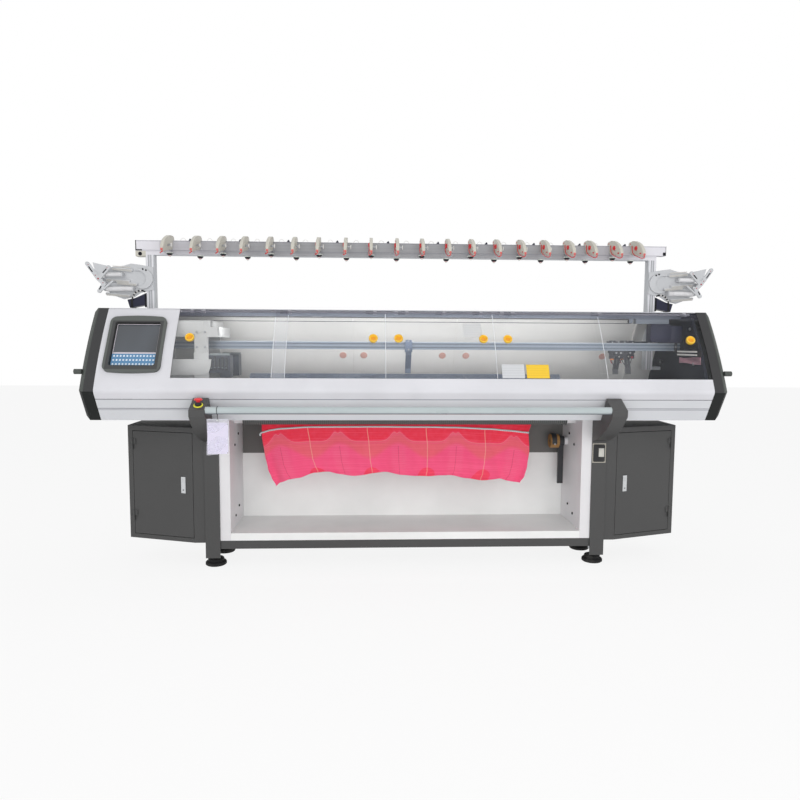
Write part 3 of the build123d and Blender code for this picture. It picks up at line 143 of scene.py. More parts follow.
class Finish(Graph):
    """One surface finish: a Principled shader and the nodes that vary it over the surface."""

    def __init__(self, name, sockets):
        self.material = bpy.data.materials.new(name)
        self.material.use_nodes = True
        super().__init__(self.material.node_tree)
        self.shader = self.tree.nodes["Principled BSDF"]
        self.place = self.node("ShaderNodeTexCoord", out="Object")
        self.set(sockets)

    def set(self, sockets):
        for name, value in sockets.items():
            if isinstance(value, Wire):
                self.tree.links.new(value.socket, self.shader.inputs[name])
            else:
                self.shader.inputs[name].default_value = value

    def along(self, axis):
        """How far each place lies along X, Y or Z, in metres."""
        return self.node("ShaderNodeSeparateXYZ", {}, {0: self.place}, axis)

    def noise(self, scale, detail=2.0, stretch=(1.0, 1.0, 1.0)):
        place = self.node("ShaderNodeMapping", {}, {"Vector": self.place, "Scale": stretch})
        sizes = {"Vector": place, "Scale": scale, "Detail": detail}
        return self.node("ShaderNodeTexNoise", {}, sizes)

    def spread(self, value, low, high, to_low=0.0, to_high=1.0):
        """Carries the values from low to high over to a new range, and stops at its ends."""
        ends = {"Value": value, "From Min": low, "From Max": high}
        return self.node("ShaderNodeMapRange", {}, {**ends, "To Min": to_low, "To Max": to_high})

    def line(self, offset, outer, inner, depth=1.0):
        """A mark where an offset is near nought: full within `inner`, gone beyond `outer`."""
        return self.spread(abs(offset), outer, inner, 0.0, depth)

    def rough(self, pattern, low, high):
        """A roughness that follows a noise from its low places to its high ones."""
        return self.spread(pattern, 0.3, 0.7, low, high)

    def mix(self, share, first, second):
        return self.node("ShaderNodeMix", {"data_type": "RGBA"}, {0: share, 6: first, 7: second}, 2)

    def bump(self, height, strength, distance, under=None):
        sockets = {"Height": height, "Strength": strength, "Distance": distance}
        if under:
            sockets["Normal"] = under
        return self.node("ShaderNodeBump", {}, sockets)


def colour(red, green, blue):
    """A colour as it looks on a screen, 0 to 255, as the light it stands for."""
    light = []
    for share in (red / 255.0, green / 255.0, blue / 255.0):
        light.append(share / 12.92 if share <= 0.04045 else ((share + 0.055) / 1.055) ** 2.4)
    return (*light, 1.0)


room = bpy.data.worlds.new("room")
room.use_nodes = True
bpy.context.scene.world = room
room_light, white = 0.55, (1.0, 1.0, 1.0, 1.0)
backdrop = room.node_tree.nodes["Background"]
backdrop.inputs["Color"].default_value = white
backdrop_strength = Graph(room.node_tree).seen() * (1.0 - room_light) + room_light
room.node_tree.links.new(backdrop_strength.socket, backdrop.inputs["Strength"])

floor_half, floor_drop, floor_pale, floor_glow = 16.0, 0.0005, 0.86, 0.86
floor_finish = Finish("pale_floor", {"Base Color": (floor_pale,) * 3 + (1.0,), "Roughness": 0.9})
glow = floor_finish.node("ShaderNodeEmission", {}, {"Color": white, "Strength": 1.0})
floor_share = floor_finish.seen() * floor_glow
floor_mix = floor_finish.node("ShaderNodeMixShader", {}, {0: floor_share, 2: glow})
floor_finish.tree.links.new(floor_finish.shader.outputs[0], floor_mix.socket.node.inputs[1])
floor_end = floor_finish.tree.nodes["Material Output"]
floor_finish.tree.links.new(floor_mix.socket, floor_end.inputs["Surface"])
floor_mesh = bpy.data.meshes.new("studio_floor")
floor_corners = [(x * floor_half, y * floor_half, -floor_drop)
                 for x, y in ((-1, -1), (1, -1), (1, 1), (-1, 1))]
floor_mesh.from_pydata(floor_corners, [], [(0, 1, 2, 3)])
floor_mesh.materials.append(floor_finish.material)
studio_floor = put("studio_floor", floor_mesh)

for lamp_name, place, target, watts, width, height in (
    ("left_lamp", (-2.6, -4.6, 3.4), (0.0, 0.0, 0.9), 44.0, 3.2, 3.2),
    ("right_lamp", (3.0, -4.2, 3.0), (0.0, 0.0, 0.9), 32.0, 3.2, 3.2),
    ("roof_lamp", (0.0, 0.2, 5.0), (0.0, 0.0, 0.9), 24.0, 4.0, 4.0),
    ("front_lamp", (0.4, -5.0, 0.8), (0.0, 0.0, 0.7), 82.0, 4.4, 1.4),
    ("inside_lamp", (0.05, -0.07, 1.4), (0.05, 0.36, 1.1), 4.8, 2.2, 0.06),
):
    lamp = bpy.data.lights.new(lamp_name, "AREA")
    lamp.shape = "RECTANGLE"
    lamp.energy, lamp.size, lamp.size_y = watts, width, height
    lamp_stand = put(lamp_name, lamp)
    lamp_stand.location = place
    lamp_stand.visible_camera = lamp_stand.visible_glossy = False
    aim = Vector(target) - Vector(place)
    lamp_stand.rotation_euler = aim.to_track_quat("-Z", "Y").to_euler()


# LEVELLING FEET
# Four black rubber pads on steel screws, one under each leg, with a lock nut under the leg.
# The pads are moulded with a stepped rim; the screws are rolled thread.
class Shape:
    """Solids gathered into one mesh, from points in millimetres as on the drawing."""

    def __init__(self):
        self.mesh = bmesh.new()

    def add(self, points, faces, finish=0, bevel=0.0, steps=2):
        corners = [self.mesh.verts.new(Vector(p) / 1000.0) for p in points]
        made_faces = [self.mesh.faces.new([corners[i] for i in face]) for face in faces]
        for face in made_faces:
            face.material_index = finish
        if bevel:
            edges = list({edge for face in made_faces for edge in face.edges})
            bmesh.ops.bevel(self.mesh, geom=edges, offset=bevel / 1000.0, segments=steps,
                            profile=0.5, affect="EDGES", clamp_overlap=True, material=-1)

    def loft(self, rings, finish=0, bevel=0.0, steps=2):
        """Skins over rings that have as many points each, and closes both ends."""
        n, points = len(rings[0]), [point for ring in rings for point in ring]
        last = len(points) - n
        faces = [tuple(range(n)), tuple(range(last, last + n))]
        for k in range(0, last, n):
            faces += [(k + i, k + (i + 1) % n, k + n + (i + 1) % n, k + n + i) for i in range(n)]
        self.add(points, faces, finish, bevel, steps)

    def prism(self, outline, axis, low, high, finish=0, bevel=0.0, steps=2):
        turns = {"X": lambda a, b, c: (c, a, b), "Y": lambda a, b, c: (a, c, b),
                 "Z": lambda a, b, c: (a, b, c)}
        rings = [[turns[axis](a, b, c) for a, b in outline] for c in (low, high)]
        self.loft(rings, finish, bevel, steps)

    def block(self, low, high, finish=0, bevel=0.0, steps=2):
        outline = [(low[0], low[1]), (high[0], low[1]), (high[0], high[1]), (low[0], high[1])]
        self.prism(outline, "Z", low[2], high[2], finish, bevel, steps)

    def turned(self, profile, at, axis=(0, 0, 1), steps=24, finish=0, ring=False):
        """Turns (radius, height) pairs round an axis from a point. A ring is open in its middle."""
        along = Vector(axis).normalized()
        side = along.orthogonal().normalized()
        out = along.cross(side)
        points, rings, faces = [], [], []
        for radius, height in profile:
            centre = Vector(at) + along * height
            count = steps if radius > 1e-6 else 1
            rings.append([len(points) + i for i in range(count)])
            for i in range(count):
                angle = 2 * pi * i / steps
                points.append(centre + (side * cos(angle) + out * sin(angle)) * radius)
        pairs = list(zip(rings, rings[1:])) + ([(rings[-1], rings[0])] if ring else [])
        for low, high in pairs:
            if len(low) == len(high) == 1:
                continue
            for i in range(steps):
                j = (i + 1) % steps
                if len(low) == 1:
                    faces.append((low[0], high[j], high[i]))
                elif len(high) == 1:
                    faces.append((low[i], low[j], high[0]))
                else:
                    faces.append((low[i], low[j], high[j], high[i]))
        if not ring:
            faces += [tuple(end) for end in (rings[0], rings[-1]) if len(end) > 1]
        self.add(points, faces, finish)

    def tube(self, path, radius, sides=10, finish=0):
        """A round bar along a path of points, with flat ends."""
        path = [Vector(p) for p in path]
        rings = []
        side = (path[1] - path[0]).orthogonal().normalized()
        for k, centre in enumerate(path):
            along = (path[min(k + 1, len(path) - 1)] - path[max(k - 1, 0)]).normalized()
            side = (side - along * side.dot(along)).normalized()
            out = along.cross(side)
            turns = [2 * pi * i / sides for i in range(sides)]
            rings.append([centre + (side * cos(turn) + out * sin(turn)) * radius for turn in turns])
        self.loft(rings, finish)

    def both_ends(self):
        """Adds the mirror image of everything so far, on the other end of the machine."""
        mesh = self.mesh
        copied = bmesh.ops.duplicate(mesh, geom=mesh.verts[:] + mesh.edges[:] + mesh.faces[:])
        for item in copied["geom"]:
            if isinstance(item, bmesh.types.BMVert):
                item.co.x = -item.co.x


def made(name, shape, finishes, body, crease=35.0):
    """Turns a shape into a piece with its finishes, which rides on a body."""
    bmesh.ops.recalc_face_normals(shape.mesh, faces=shape.mesh.faces)
    mesh = bpy.data.meshes.new(name)
    shape.mesh.to_mesh(mesh)
    shape.mesh.free()
    for finish in finishes:
        mesh.materials.append(finish.material)
    mesh.shade_smooth()
    mesh.set_sharp_from_angle(angle=radians(crease))
    piece = put(name, mesh)
    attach(piece, body)
    return piece


def toned(base, share):
    """A colour at a share of its own light."""
    return tuple(min(1.0, c * share) for c in base[:3]) + (1.0,)


def rubber(name, base, roughness=0.75):
    """Moulded rubber: dull, with a fine grain and patches of pale dust."""
    finish = Finish(name, {"Specular IOR Level": 0.35})
    dust = finish.spread(finish.noise(14.0, 4.0), 0.45, 0.75, 0.0, 0.35)
    finish.set({
        "Base Color": finish.mix(dust, base, colour(120, 118, 114)),
        "Roughness": finish.spread(dust, 0.0, 0.35, roughness, 0.95),
        "Normal": finish.bump(finish.noise(700.0), 0.25, 0.0004),
    })
    return finish


def metal(name, base, roughness=0.3, grain=(2.0, 500.0, 500.0), shine=1.0):
    """Drawn, rolled or brushed metal, with its fine lines along the way it was worked."""
    finish = Finish(name, {"Metallic": shine})
    lines, stain = finish.noise(1.0, 3.0, grain), finish.noise(6.0, 4.0)
    bright = finish.spread(lines + stain * 0.3, 0.45, 0.85)
    finish.set({
        "Base Color": finish.mix(bright, toned(base, 0.86), base),
        "Roughness": finish.rough(stain, roughness * 0.8, roughness * 1.25),
        "Normal": finish.bump(lines, 0.03, 0.0002),
    })
    return finish


foot_rubber = rubber("foot_rubber", colour(30, 30, 31))
zinc_steel = metal("zinc_steel", colour(188, 190, 194), 0.32, (300.0, 300.0, 8.0))
feet = Shape()
foot_x, foot_ys = 1111.0, (-75.0, 168.6)
pad = [(0, 0), (55, 0), (60, 4), (60, 15), (56, 20), (49, 22), (46, 25), (46, 35), (42, 40),
       (0, 40)]
pad_ribs, pad_rib_radius, pad_rib_z = 16, 51.5, 19.0
pad_rib = [(0, 0), (3.2, 0), (2.4, 3.0), (0, 3.4)]
thread_foot, thread_top, thread_step, thread_turns = 38, 108.5, 2.2, 32
thread = [(13.8 if k % 2 else 12.4, thread_foot + k * thread_step) for k in range(thread_turns)]
thread = [(0, thread_foot)] + thread + [(0, thread_top)]
lock_nut = [(0, 0), (21, 0), (24, 2.5), (24, 13.5), (21, 16), (0, 16)]
washer = [(0, 0), (27, 0), (27, 2.5), (0, 2.5)]
for x in (-foot_x, foot_x):
    for y in foot_ys:
        feet.turned(pad, (x, y, 0.0), steps=40)
        for k in range(pad_ribs):
            turn = 2 * pi * k / pad_ribs
            at = (x + pad_rib_radius * cos(turn), y + pad_rib_radius * sin(turn), pad_rib_z)
            feet.turned(pad_rib, at, steps=8)
        feet.turned(thread, (x, y, 0.0), steps=18, finish=1)
        feet.turned(lock_nut, (x, y, 74.0), steps=6, finish=1)
        feet.turned(washer, (x, y, 92.0), steps=28, finish=1)
feet_piece = made("levelling_feet_turned", feet, [foot_rubber, zinc_steel], "frame")
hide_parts("levelling_feet")

# STANDS AND BASE RAILS
# Two welded stands of folded sheet steel, each two legs with a curved arm that reaches to the
# front, joined by two square base rails. Stove-enamelled in a fine-textured dark grey.
def sprayed(name, base, roughness=0.45, grain=0.2, peel=900.0, worn=0.35):
    """Paint sprayed on steel: a fine orange peel, a faint cloudiness, and paler rubbed edges."""
    finish = Finish(name, {})
    soft = finish.node("ShaderNodeBevel", {"samples": 4}, {"Radius": 0.0018}, "Normal")
    true = finish.node("ShaderNodeNewGeometry", out="True Normal")
    flat = finish.node("ShaderNodeVectorMath", {"operation": "DOT_PRODUCT"}, {
        0: soft, 1: true}, "Value")
    edge = finish.spread(flat, 0.8, 0.97, worn, 0.0)
    rubbed = edge * finish.spread(finish.noise(60.0), 0.4, 0.6, 0.3, 1.0)
    cloud = finish.noise(3.0, 4.0)
    pale = tuple(c + (0.62 - c) * 0.45 for c in base[:3]) + (1.0,)
    even = finish.mix(finish.spread(cloud, 0.35, 0.65), toned(base, 0.95), toned(base, 1.04))
    finish.set({
        "Base Color": finish.mix(rubbed, even, pale),
        "Roughness": finish.rough(cloud, roughness - 0.04, roughness + 0.06),
        "Normal": finish.bump(finish.noise(peel), grain, 0.0003, soft),
    })
    return finish


def dress(finish, *nodes):
    """Gives the drawing's own solids their finish."""
    for node in nodes:
        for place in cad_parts[node].material_slots:
            place.material = finish.material


dark_enamel = sprayed("dark_enamel", colour(70, 70, 70), 0.5, 0.3, 650.0)
dress(dark_enamel, "stands", "base_rails")

forward = (0, -1, 0)
plate_silver = metal("plate_silver", colour(205, 200, 188), 0.35, (400.0, 400.0, 400.0))
plate_black = sprayed("plate_black", colour(28, 28, 30), 0.35, 0.05, 900.0, 0.1)
plate_pale = sprayed("plate_pale", colour(206, 205, 198), 0.4, 0.05, 900.0, 0.1)
plate = Shape()
plate.block((1070.5, -151.0, 606.0), (1148.0, -150.0, 718.0), 0, 0.4)
plate.block((1074.0, -151.4, 610.0), (1144.5, -150.9, 714.0), 1, 0.15)
plate.block((1107.0, -151.7, 640.0), (1139.0, -151.3, 690.0), 2, 0.15)
plate_rivet = [(0, 0), (1.9, 0), (1.6, 0.6), (0, 0.9)]
for x in (1077.5, 1141.0):
    for z in (613.5, 710.5):
        plate.turned(plate_rivet, (x, -151.3, z), forward, 12)
plate_finishes = [plate_silver, plate_black, plate_pale]
made("blank_rating_plate", plate, plate_finishes, "frame")

seam_dark = rubber("seam_dark", colour(22, 22, 30))
arm_seams = Shape()
for low, high in ((-1151.7, -1070.3), (1070.3, 1151.7)):
    arm_seams.block((low, -150.6, 731.6), (high, -149.8, 733.4), 0, 0.2)
made("arm_seams", arm_seams, [seam_dark], "frame")

# FABRIC BIN
# A white sheet-steel tray under the take-down that catches the knitted fabric, with folded side
# plates held by black button screws and a dark cover behind the rollers.
tray_white = sprayed("tray_white", colour(238, 239, 238), 0.5, 0.12)
tray_side_white = sprayed("tray_side_white", colour(226, 225, 227), 0.5, 0.12)
cover_grey = sprayed("take_down_grey", colour(104, 103, 101), 0.55, 0.15)
dress(tray_white, "fabric_bin")
dress(tray_side_white, "bin_sides")
dress(cover_grey, "take_down_cover")


def new_tree(name, inputs):
    """Starts a geometry-node tree with named inputs, and gives a wire from each."""
    tree = bpy.data.node_groups.new(name, "GeometryNodeTree")
    tree.interface.new_socket(name="Geometry", in_out="INPUT", socket_type="NodeSocketGeometry")
    for label, kind in inputs.items():
        tree.interface.new_socket(name=label, in_out="INPUT", socket_type="NodeSocket" + kind)
    tree.interface.new_socket(name="Geometry", in_out="OUTPUT", socket_type="NodeSocketGeometry")
    graph = Graph(tree)
    start = tree.nodes.new("NodeGroupInput")
    return graph, {socket.name: Wire(graph, socket) for socket in start.outputs if socket.name}


def end_tree(graph, geometry, finish):
    """Makes a tree's instances real and gives them their finish."""
    real = graph.node("GeometryNodeRealizeInstances", {}, {"Geometry": geometry})
    finished = graph.node("GeometryNodeSetMaterial", {}, {"Geometry": real, "Material": finish})
    graph.node("NodeGroupOutput", {}, {"Geometry": finished})
    return graph.tree


def as_mesh(holder):
    """Turns a holder and its modifiers into a plain mesh, and clears the holder away."""
    bpy.context.view_layer.update()
    evaluated = holder.evaluated_get(bpy.context.evaluated_depsgraph_get())
    mesh = bpy.data.meshes.new_from_object(evaluated)
    bpy.data.objects.remove(holder)
    return mesh


def laid_out(name, tree, values, finish, body, places=(), facings=(), crease=35.0):
    """Runs a tree on a mesh of points, and seats what it makes on a body as a plain mesh."""
    points = bpy.data.meshes.new(name + "_places")
    points.from_pydata([Vector(p) / 1000.0 for p in places], [], [])
    if facings:
        facing = points.attributes.new("facing", "FLOAT_VECTOR", "POINT")
        facing.data.foreach_set("vector", [c for f in facings for c in f])
    holder = put(name + "_places", points)
    modifier = holder.modifiers.new("layout", "NODES")
    modifier.node_group = tree
    values = dict(values, Finish=finish.material)
    for item in tree.interface.items_tree:
        if item.in_out == "INPUT" and item.name in values:
            modifier[item.identifier] = values[item.name]
    mesh = as_mesh(holder)
    mesh.name = name
    mesh.shade_smooth()
    mesh.set_sharp_from_angle(angle=radians(crease))
    piece = put(name, mesh)
    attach(piece, body)
    return piece


graph, wires = new_tree("screw_heads", {
    "Head radius": "Float", "Head height": "Float", "Socket share": "Float", "Finish": "Material",
})
head_height = wires["Head height"]
head = graph.node("GeometryNodeMeshCylinder", {}, {
    "Vertices": 12, "Radius": wires["Head radius"], "Depth": head_height}, "Mesh")
lift = graph.node("ShaderNodeCombineXYZ", {}, {"Z": head_height * 0.5})
head = graph.node("GeometryNodeTransform", {}, {"Geometry": head, "Translation": lift})
normal = graph.node("GeometryNodeInputNormal")
upward = graph.node("ShaderNodeSeparateXYZ", {}, {0: normal}, "Z") > 0.9
shoulder = graph.node("GeometryNodeExtrudeMesh", {"mode": "FACES"}, {
    "Mesh": head, "Selection": upward, "Offset Scale": head_height * 0.25}, "Mesh")
shrunk = graph.node("GeometryNodeScaleElements", {}, {
    "Geometry": shoulder, "Selection": shoulder.also("Top"), "Scale": 0.82})
land = graph.node("GeometryNodeExtrudeMesh", {"mode": "FACES"}, {
    "Mesh": shrunk, "Selection": shoulder.also("Top"), "Offset Scale": 0.0}, "Mesh")
mouth = graph.node("GeometryNodeScaleElements", {}, {
    "Geometry": land, "Selection": land.also("Top"), "Scale": wires["Socket share"]})
socket = graph.node("GeometryNodeExtrudeMesh", {"mode": "FACES"}, {
    "Mesh": mouth, "Selection": land.also("Top"), "Offset Scale": head_height * -0.7}, "Mesh")
facing = graph.node("GeometryNodeInputNamedAttribute", {"data_type": "FLOAT_VECTOR"}, {
    "Name": "facing"})
aligned = graph.node("FunctionNodeAlignRotationToVector", {"axis": "Z"}, {"Vector": facing})
set_heads = graph.node("GeometryNodeInstanceOnPoints", {}, {
    "Points": wires["Geometry"], "Instance": socket, "Rotation": aligned})
screw_heads = end_tree(graph, set_heads, wires["Finish"])


def wall_screws(name, size, finish, wall_x, spots):
    """Screws in the wall at each end, with their heads towards the middle of the machine."""
    radius, height, share = size
    sizes = {"Head radius": radius, "Head height": height, "Socket share": share}
    places = [(sign * wall_x, y, z) for sign in (-1, 1) for y, z in spots]
    facings = [(-sign, 0.0, 0.0) for sign in (-1, 1) for _ in spots]
    laid_out(name, screw_heads, sizes, finish, "frame", places, facings)


black_steel = metal("black_steel", colour(34, 34, 38), 0.4, (60.0, 60.0, 60.0), 0.6)
wall_screws("tray_screws", (0.0075, 0.004, 0.55), black_steel, 1010.0,
            ((0.0, 690.0), (0.0, 269.0), (100.0, 744.0), (100.0, 305.0)))

# TAKE-DOWN ROLLERS
# Two turned rollers that pinch the fabric and draw it down, covered in grooved rubber. They run
# in the sides of the body, and the rear one turns against the front one.
# The rubber is painted darker than its own grey, and darker again in its grooves, as painted shade
# for the shadowed gap that the rollers sit in.
roller_grip = Finish("roller_grip", {"Specular IOR Level": 0.3})
rings = roller_grip.node("ShaderNodeTexWave", {"bands_direction": "X"}, {
    "Vector": roller_grip.place, "Scale": 26.0, "Distortion": 0.0})
roller_grip.set({
    "Base Color": roller_grip.mix(rings, colour(72, 74, 73), colour(104, 106, 105)),
    "Roughness": roller_grip.spread(rings, 0.0, 1.0, 0.75, 0.5),
    "Normal": roller_grip.bump(rings, 0.5, 0.0015),
})
dress(roller_grip, "front_take_down_roller", "rear_take_down_roller")

# KNITTED FABRIC
# A row of red and pink jersey panels, knitted side by side and still on the machine. It hangs from
# the pinch of the rollers in soft folds, curls at its edges, and carries a pale draw thread.
panel_pitch, panel_middle = 0.357, -0.048
nip_z = 838.0
cloth_top, beds_middle_y = 1098.0, 46.8
cloth_left, cloth_flat_width = -0.857, 1.612
left_edge = [(0.0, -857.0), (0.543, -859.0), (0.70, -843.0), (0.852, -824.0), (0.93, -803.0),
             (1.0, -775.0)]
right_edge = [(0.0, 755.0), (0.46, 757.0), (0.53, 740.0), (0.70, 744.0), (0.84, 733.0),
              (0.943, 715.0), (1.0, 690.0)]
hem = [(-775, 437), (-753, 457), (-696, 479), (-635, 487), (-545, 515), (-461, 521), (-394, 504),
       (-306, 497), (-217, 509), (-133, 516), (-14, 501), (122, 492), (258, 497), (360, 480),
       (494, 467), (573, 472), (619, 460), (690, 454)]
hem_left, hem_width = -775.0, 1465.0
thread_line = [(-859, 757), (-800, 772), (-751, 780), (-585, 790), (-226, 792), (136, 790),
               (300, 787), (507, 778), (613, 768), (740, 756)]


def between(value):
    """A value held between nought and one."""
    return min(1.0, max(0.0, value))


def along_line(points, at):
    """The height of a drawn line at one place, eased between its points."""
    for (a, low), (b, high) in zip(points, points[1:]):
        if at <= b or (b, high) == points[-1]:
            share = between((at - a) / (b - a))
            return low + (high - low) * (share * share * (3 - 2 * share) * 0.5 + share * 0.5)


def cloth_fold(x, z):
    """How far the cloth stands off its middle plane at one place, in millimetres."""
    slack = between((nip_z - 32.0 - z) / 330.0) ** 0.8
    wave = 13.0 * sin(2 * pi * x / 362.0 + 0.6) + 8.0 * sin(2 * pi * x / 231.0 + 2.0)
    wave += 5.0 * sin(2 * pi * x / 97.0 + z / 45.0) * slack
    return slack * wave


cloth_columns, cloth_rows = 220, 84
side_curl, side_curl_width, hem_curl, hem_curl_height = 15.0, 26.0, 9.0, 16.0
cloth_mesh = bmesh.new()
cloth_uv = cloth_mesh.loops.layers.uv.new("cloth")
cloth_grid, cloth_flat = [], {}
for j in range(cloth_rows + 1):
    t, cloth_row = j / cloth_rows, []
    near, far = along_line(left_edge, t), along_line(right_edge, t)
    for i in range(cloth_columns + 1):
        s = i / cloth_columns
        x = near + (far - near) * s
        foot = along_line(hem, x if t > 0.98 else hem_left + hem_width * s)
        z = cloth_top - (cloth_top - foot) * t
        loose = between((nip_z - 40.0 - z) / 120.0)
        at_side = max(0.0, 1.0 - min(x - near, far - x) / side_curl_width) ** 2
        at_hem = max(0.0, 1.0 - (z - foot) / hem_curl_height) ** 2
        y = beds_middle_y - cloth_fold(x, z) - loose * (side_curl * at_side + hem_curl * at_hem)
        vertex = cloth_mesh.verts.new((x / 1000.0, y / 1000.0, z / 1000.0))
        below_thread = (along_line(thread_line, x) - z) / 1000.0
        cloth_flat[vertex] = (cloth_left + cloth_flat_width * s, below_thread)
        cloth_row.append(vertex)
    cloth_grid.append(cloth_row)
for upper, lower in zip(cloth_grid, cloth_grid[1:]):
    for i in range(cloth_columns):
        face = cloth_mesh.faces.new((upper[i], lower[i], lower[i + 1], upper[i + 1]))
        for loop in face.loops:
            loop[cloth_uv].uv = cloth_flat[loop.vert]
cloth_data = bpy.data.meshes.new("jersey_sheet")
cloth_mesh.to_mesh(cloth_data)
cloth_mesh.free()

jersey = Finish("jersey", {
    "Sheen Weight": 0.25, "Sheen Roughness": 0.5, "Specular IOR Level": 0.2})
jersey.place = jersey.node("ShaderNodeUVMap", {"uv_map": "cloth"})
across, down = jersey.along("X"), jersey.along("Y")
from_middle = abs(((across - panel_middle) / panel_pitch + 20.5).of("FRACT") - 0.5) * panel_pitch
to_side = 0.5 * panel_pitch - from_middle


def hump(width):
    """A smooth rise over the middle of each panel."""
    share = from_middle / width
    return 2.718 ** (share * share * -1.0)


def band(value, half):
    """1 on a line and 0 away from it, with a soft edge."""
    return jersey.line(value, half, half * 0.55)


scallop = ((across - panel_middle) * (2 * pi / panel_pitch)).of("COSINE")
upper_line = 0.089 - hump(0.052) * 0.066 + hump(0.012) * 0.017
lower_line = 0.1455 - scallop * 0.0435
arch_depth = down - 0.305
arch = (to_side * to_side + arch_depth * arch_depth).of("SQRT")
rib_zone = (down > lower_line) * jersey.spread(from_middle, 0.055, 0.035)
rib_rows = jersey.spread(abs((down * 95.0).of("FRACT") - 0.5), 0.2, 0.35)
streaks, cloudy = jersey.noise(1.0, 4.0, (1.4, 190.0, 1.0)), jersey.noise(34.0, 3.0)
red_yarn, rose_yarn = colour(252, 62, 84), colour(246, 104, 120)
pink_yarn, pale_yarn = colour(255, 92, 138), colour(255, 146, 170)
tone = red_yarn
for share, yarn in (
    (jersey.spread(down - upper_line, -0.002, 0.002), rose_yarn),
    (jersey.spread(down - lower_line, -0.016, 0.012), pink_yarn),
    (jersey.spread(arch, 0.060, 0.056, 0.0, 0.75), red_yarn),
    (band(down - upper_line, 0.0022) * 0.7, pale_yarn),
    (band(down - upper_line + 0.0075, 0.0018) * 0.55, pink_yarn),
    (band(down - upper_line - 0.011, 0.0032) * 0.6, pink_yarn),
    (rib_zone * rib_rows * 0.22, pale_yarn),
    (band(from_middle, 0.0018) * (down > 0.115) * 0.6, colour(200, 50, 86)),
    (band(to_side, 0.0030) * (down > 0.0) * 0.75, colour(250, 176, 160)),
    ((down < -0.006) * 0.6, colour(232, 34, 54)),
    (jersey.spread(streaks, 0.36, 0.66, 0.16, 0.0), colour(196, 36, 66)),
    (jersey.spread(streaks, 0.52, 0.72, 0.0, 0.2), colour(255, 150, 170)),
    (jersey.spread(cloudy, 0.4, 0.7, 0.0, 0.12), colour(255, 120, 150)),
):
    tone = jersey.mix(share, tone, yarn)
wale_pitch, course_pitch = 0.0024, 0.0017
wale = (across * (2 * pi / wale_pitch)).of("SINE")
course = (down * (2 * pi / course_pitch) + abs(wale) * 1.6).of("SINE")
jersey.set({
    "Base Color": tone,
    "Roughness": jersey.rough(streaks, 0.78, 0.92),
    "Normal": jersey.bump(wale * 0.6 + course * 0.4 + streaks, 0.45, 0.0007),
})
cloth_data.materials.append(jersey.material)
cloth_data.shade_smooth()
cloth_holder = put("jersey_flat", cloth_data)
thickness = cloth_holder.modifiers.new("thickness", "SOLIDIFY")
thickness.thickness, thickness.offset = 0.0016, 0.0
jersey_sheet = put("jersey_sheet", as_mesh(cloth_holder))
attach(jersey_sheet, "frame")
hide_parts("knitted_fabric")


def spun(name, base, pitch=420.0):
    """Spun or braided yarn: matt, with a slanting twist."""
    finish = Finish(name, {"Specular IOR Level": 0.2, "Sheen Weight": 0.3})
    twist = finish.node("ShaderNodeTexWave", {"bands_direction": "DIAGONAL"}, {
        "Vector": finish.place, "Scale": pitch, "Distortion": 1.5})
    finish.set({
        "Base Color": finish.mix(twist, toned(base, 0.72), base),
        "Roughness": finish.spread(twist, 0.0, 1.0, 0.9, 0.75),
        "Normal": finish.bump(twist, 0.5, 0.001),
    })
    return finish


pale_thread = spun("pale_thread", colour(214, 221, 224), 60.0)
thread_radius, thread_off = 5.0, 8.0
draw_path = []
for x, z in [(-866.0, 738.0), (-868.0, 748.0)] + [
        (x, along_line(thread_line, x)) for x in range(-859, 742, 16)]:
    clear = thread_off + 0.5 * (x < -855) + 6.0 * (abs(x + 52) > 785)
    draw_path.append((x, beds_middle_y - cloth_fold(x, z) - clear, z))
draw_thread = Shape()
draw_thread.tube(draw_path, thread_radius, 10)
thread_piece = made("draw_thread", draw_thread, [pale_thread], "frame")

# RELEASE LEVER
# A black steel lever beside the rollers that opens the pinch, with a turned block on its shaft
# and a steel strap over the block.
lever_black = sprayed("lever_black", colour(50, 51, 54), 0.45, 0.25, 500.0)
dress(lever_black, "release_lever")
block_wood = Finish("turned_block", {"Specular IOR Level": 0.4})
grain_lines = block_wood.noise(18.0, 4.0, (0.5, 6.0, 6.0))
block_wood.set({
    "Base Color": block_wood.mix(grain_lines, colour(120, 84, 44), colour(186, 143, 88)),
    "Roughness": block_wood.rough(grain_lines, 0.45, 0.65),
    "Normal": block_wood.bump(grain_lines, 0.3, 0.0006),
})
dress(block_wood, "release_disc")


def arc(middle, radius, degrees):
    """Points of a round run about a middle, at some angles in degrees."""
    turns = [radians(a) for a in degrees]
    return [(middle[0] + radius * cos(a), middle[1] + radius * sin(a)) for a in turns]


shaft_at, strap_inside, strap_outside = (150.0, 690.0), 44.5, 48.5
strap_outline = arc(shaft_at, strap_outside, range(-20, 201, 10))
strap_outline += arc(shaft_at, strap_inside, range(200, -21, -10))
strap = Shape()
strap.prism(strap_outline, "X", 906.0, 936.0, 0, 0.8)
strap.turned([(0, 0), (6, 0), (6, 3), (4, 5), (0, 5)], (921.0, 101.0, 676.0), forward, 14, 1)
made("block_strap", strap, [lever_black, zinc_steel], "lever")

# CABINETS
# Two sheet-steel cabinets for the electrics, hung on the outer sides of the stands. Each has a
# slanted front with a hinged door and a chromed flush latch with a key barrel.
dress(dark_enamel, "left_cabinet", "right_cabinet", "left_door", "right_door")
latch_plate = metal("latch_plate", colour(214, 216, 218), 0.2, (200.0, 200.0, 20.0))
dress(latch_plate, "left_latch", "right_latch")
door_foot = Vector((1212.5, -140.0, 0.0))
door_run = Vector((407.5, 128.0, 0.0)).normalized()
door_out = Vector((door_run.y, -door_run.x, 0.0))


def on_door(s, z, n):
    """A point of the right-hand door: how far along it, how high, and how far it stands out."""
    return door_foot + door_run * s + door_out * n + Vector((0.0, 0.0, z))


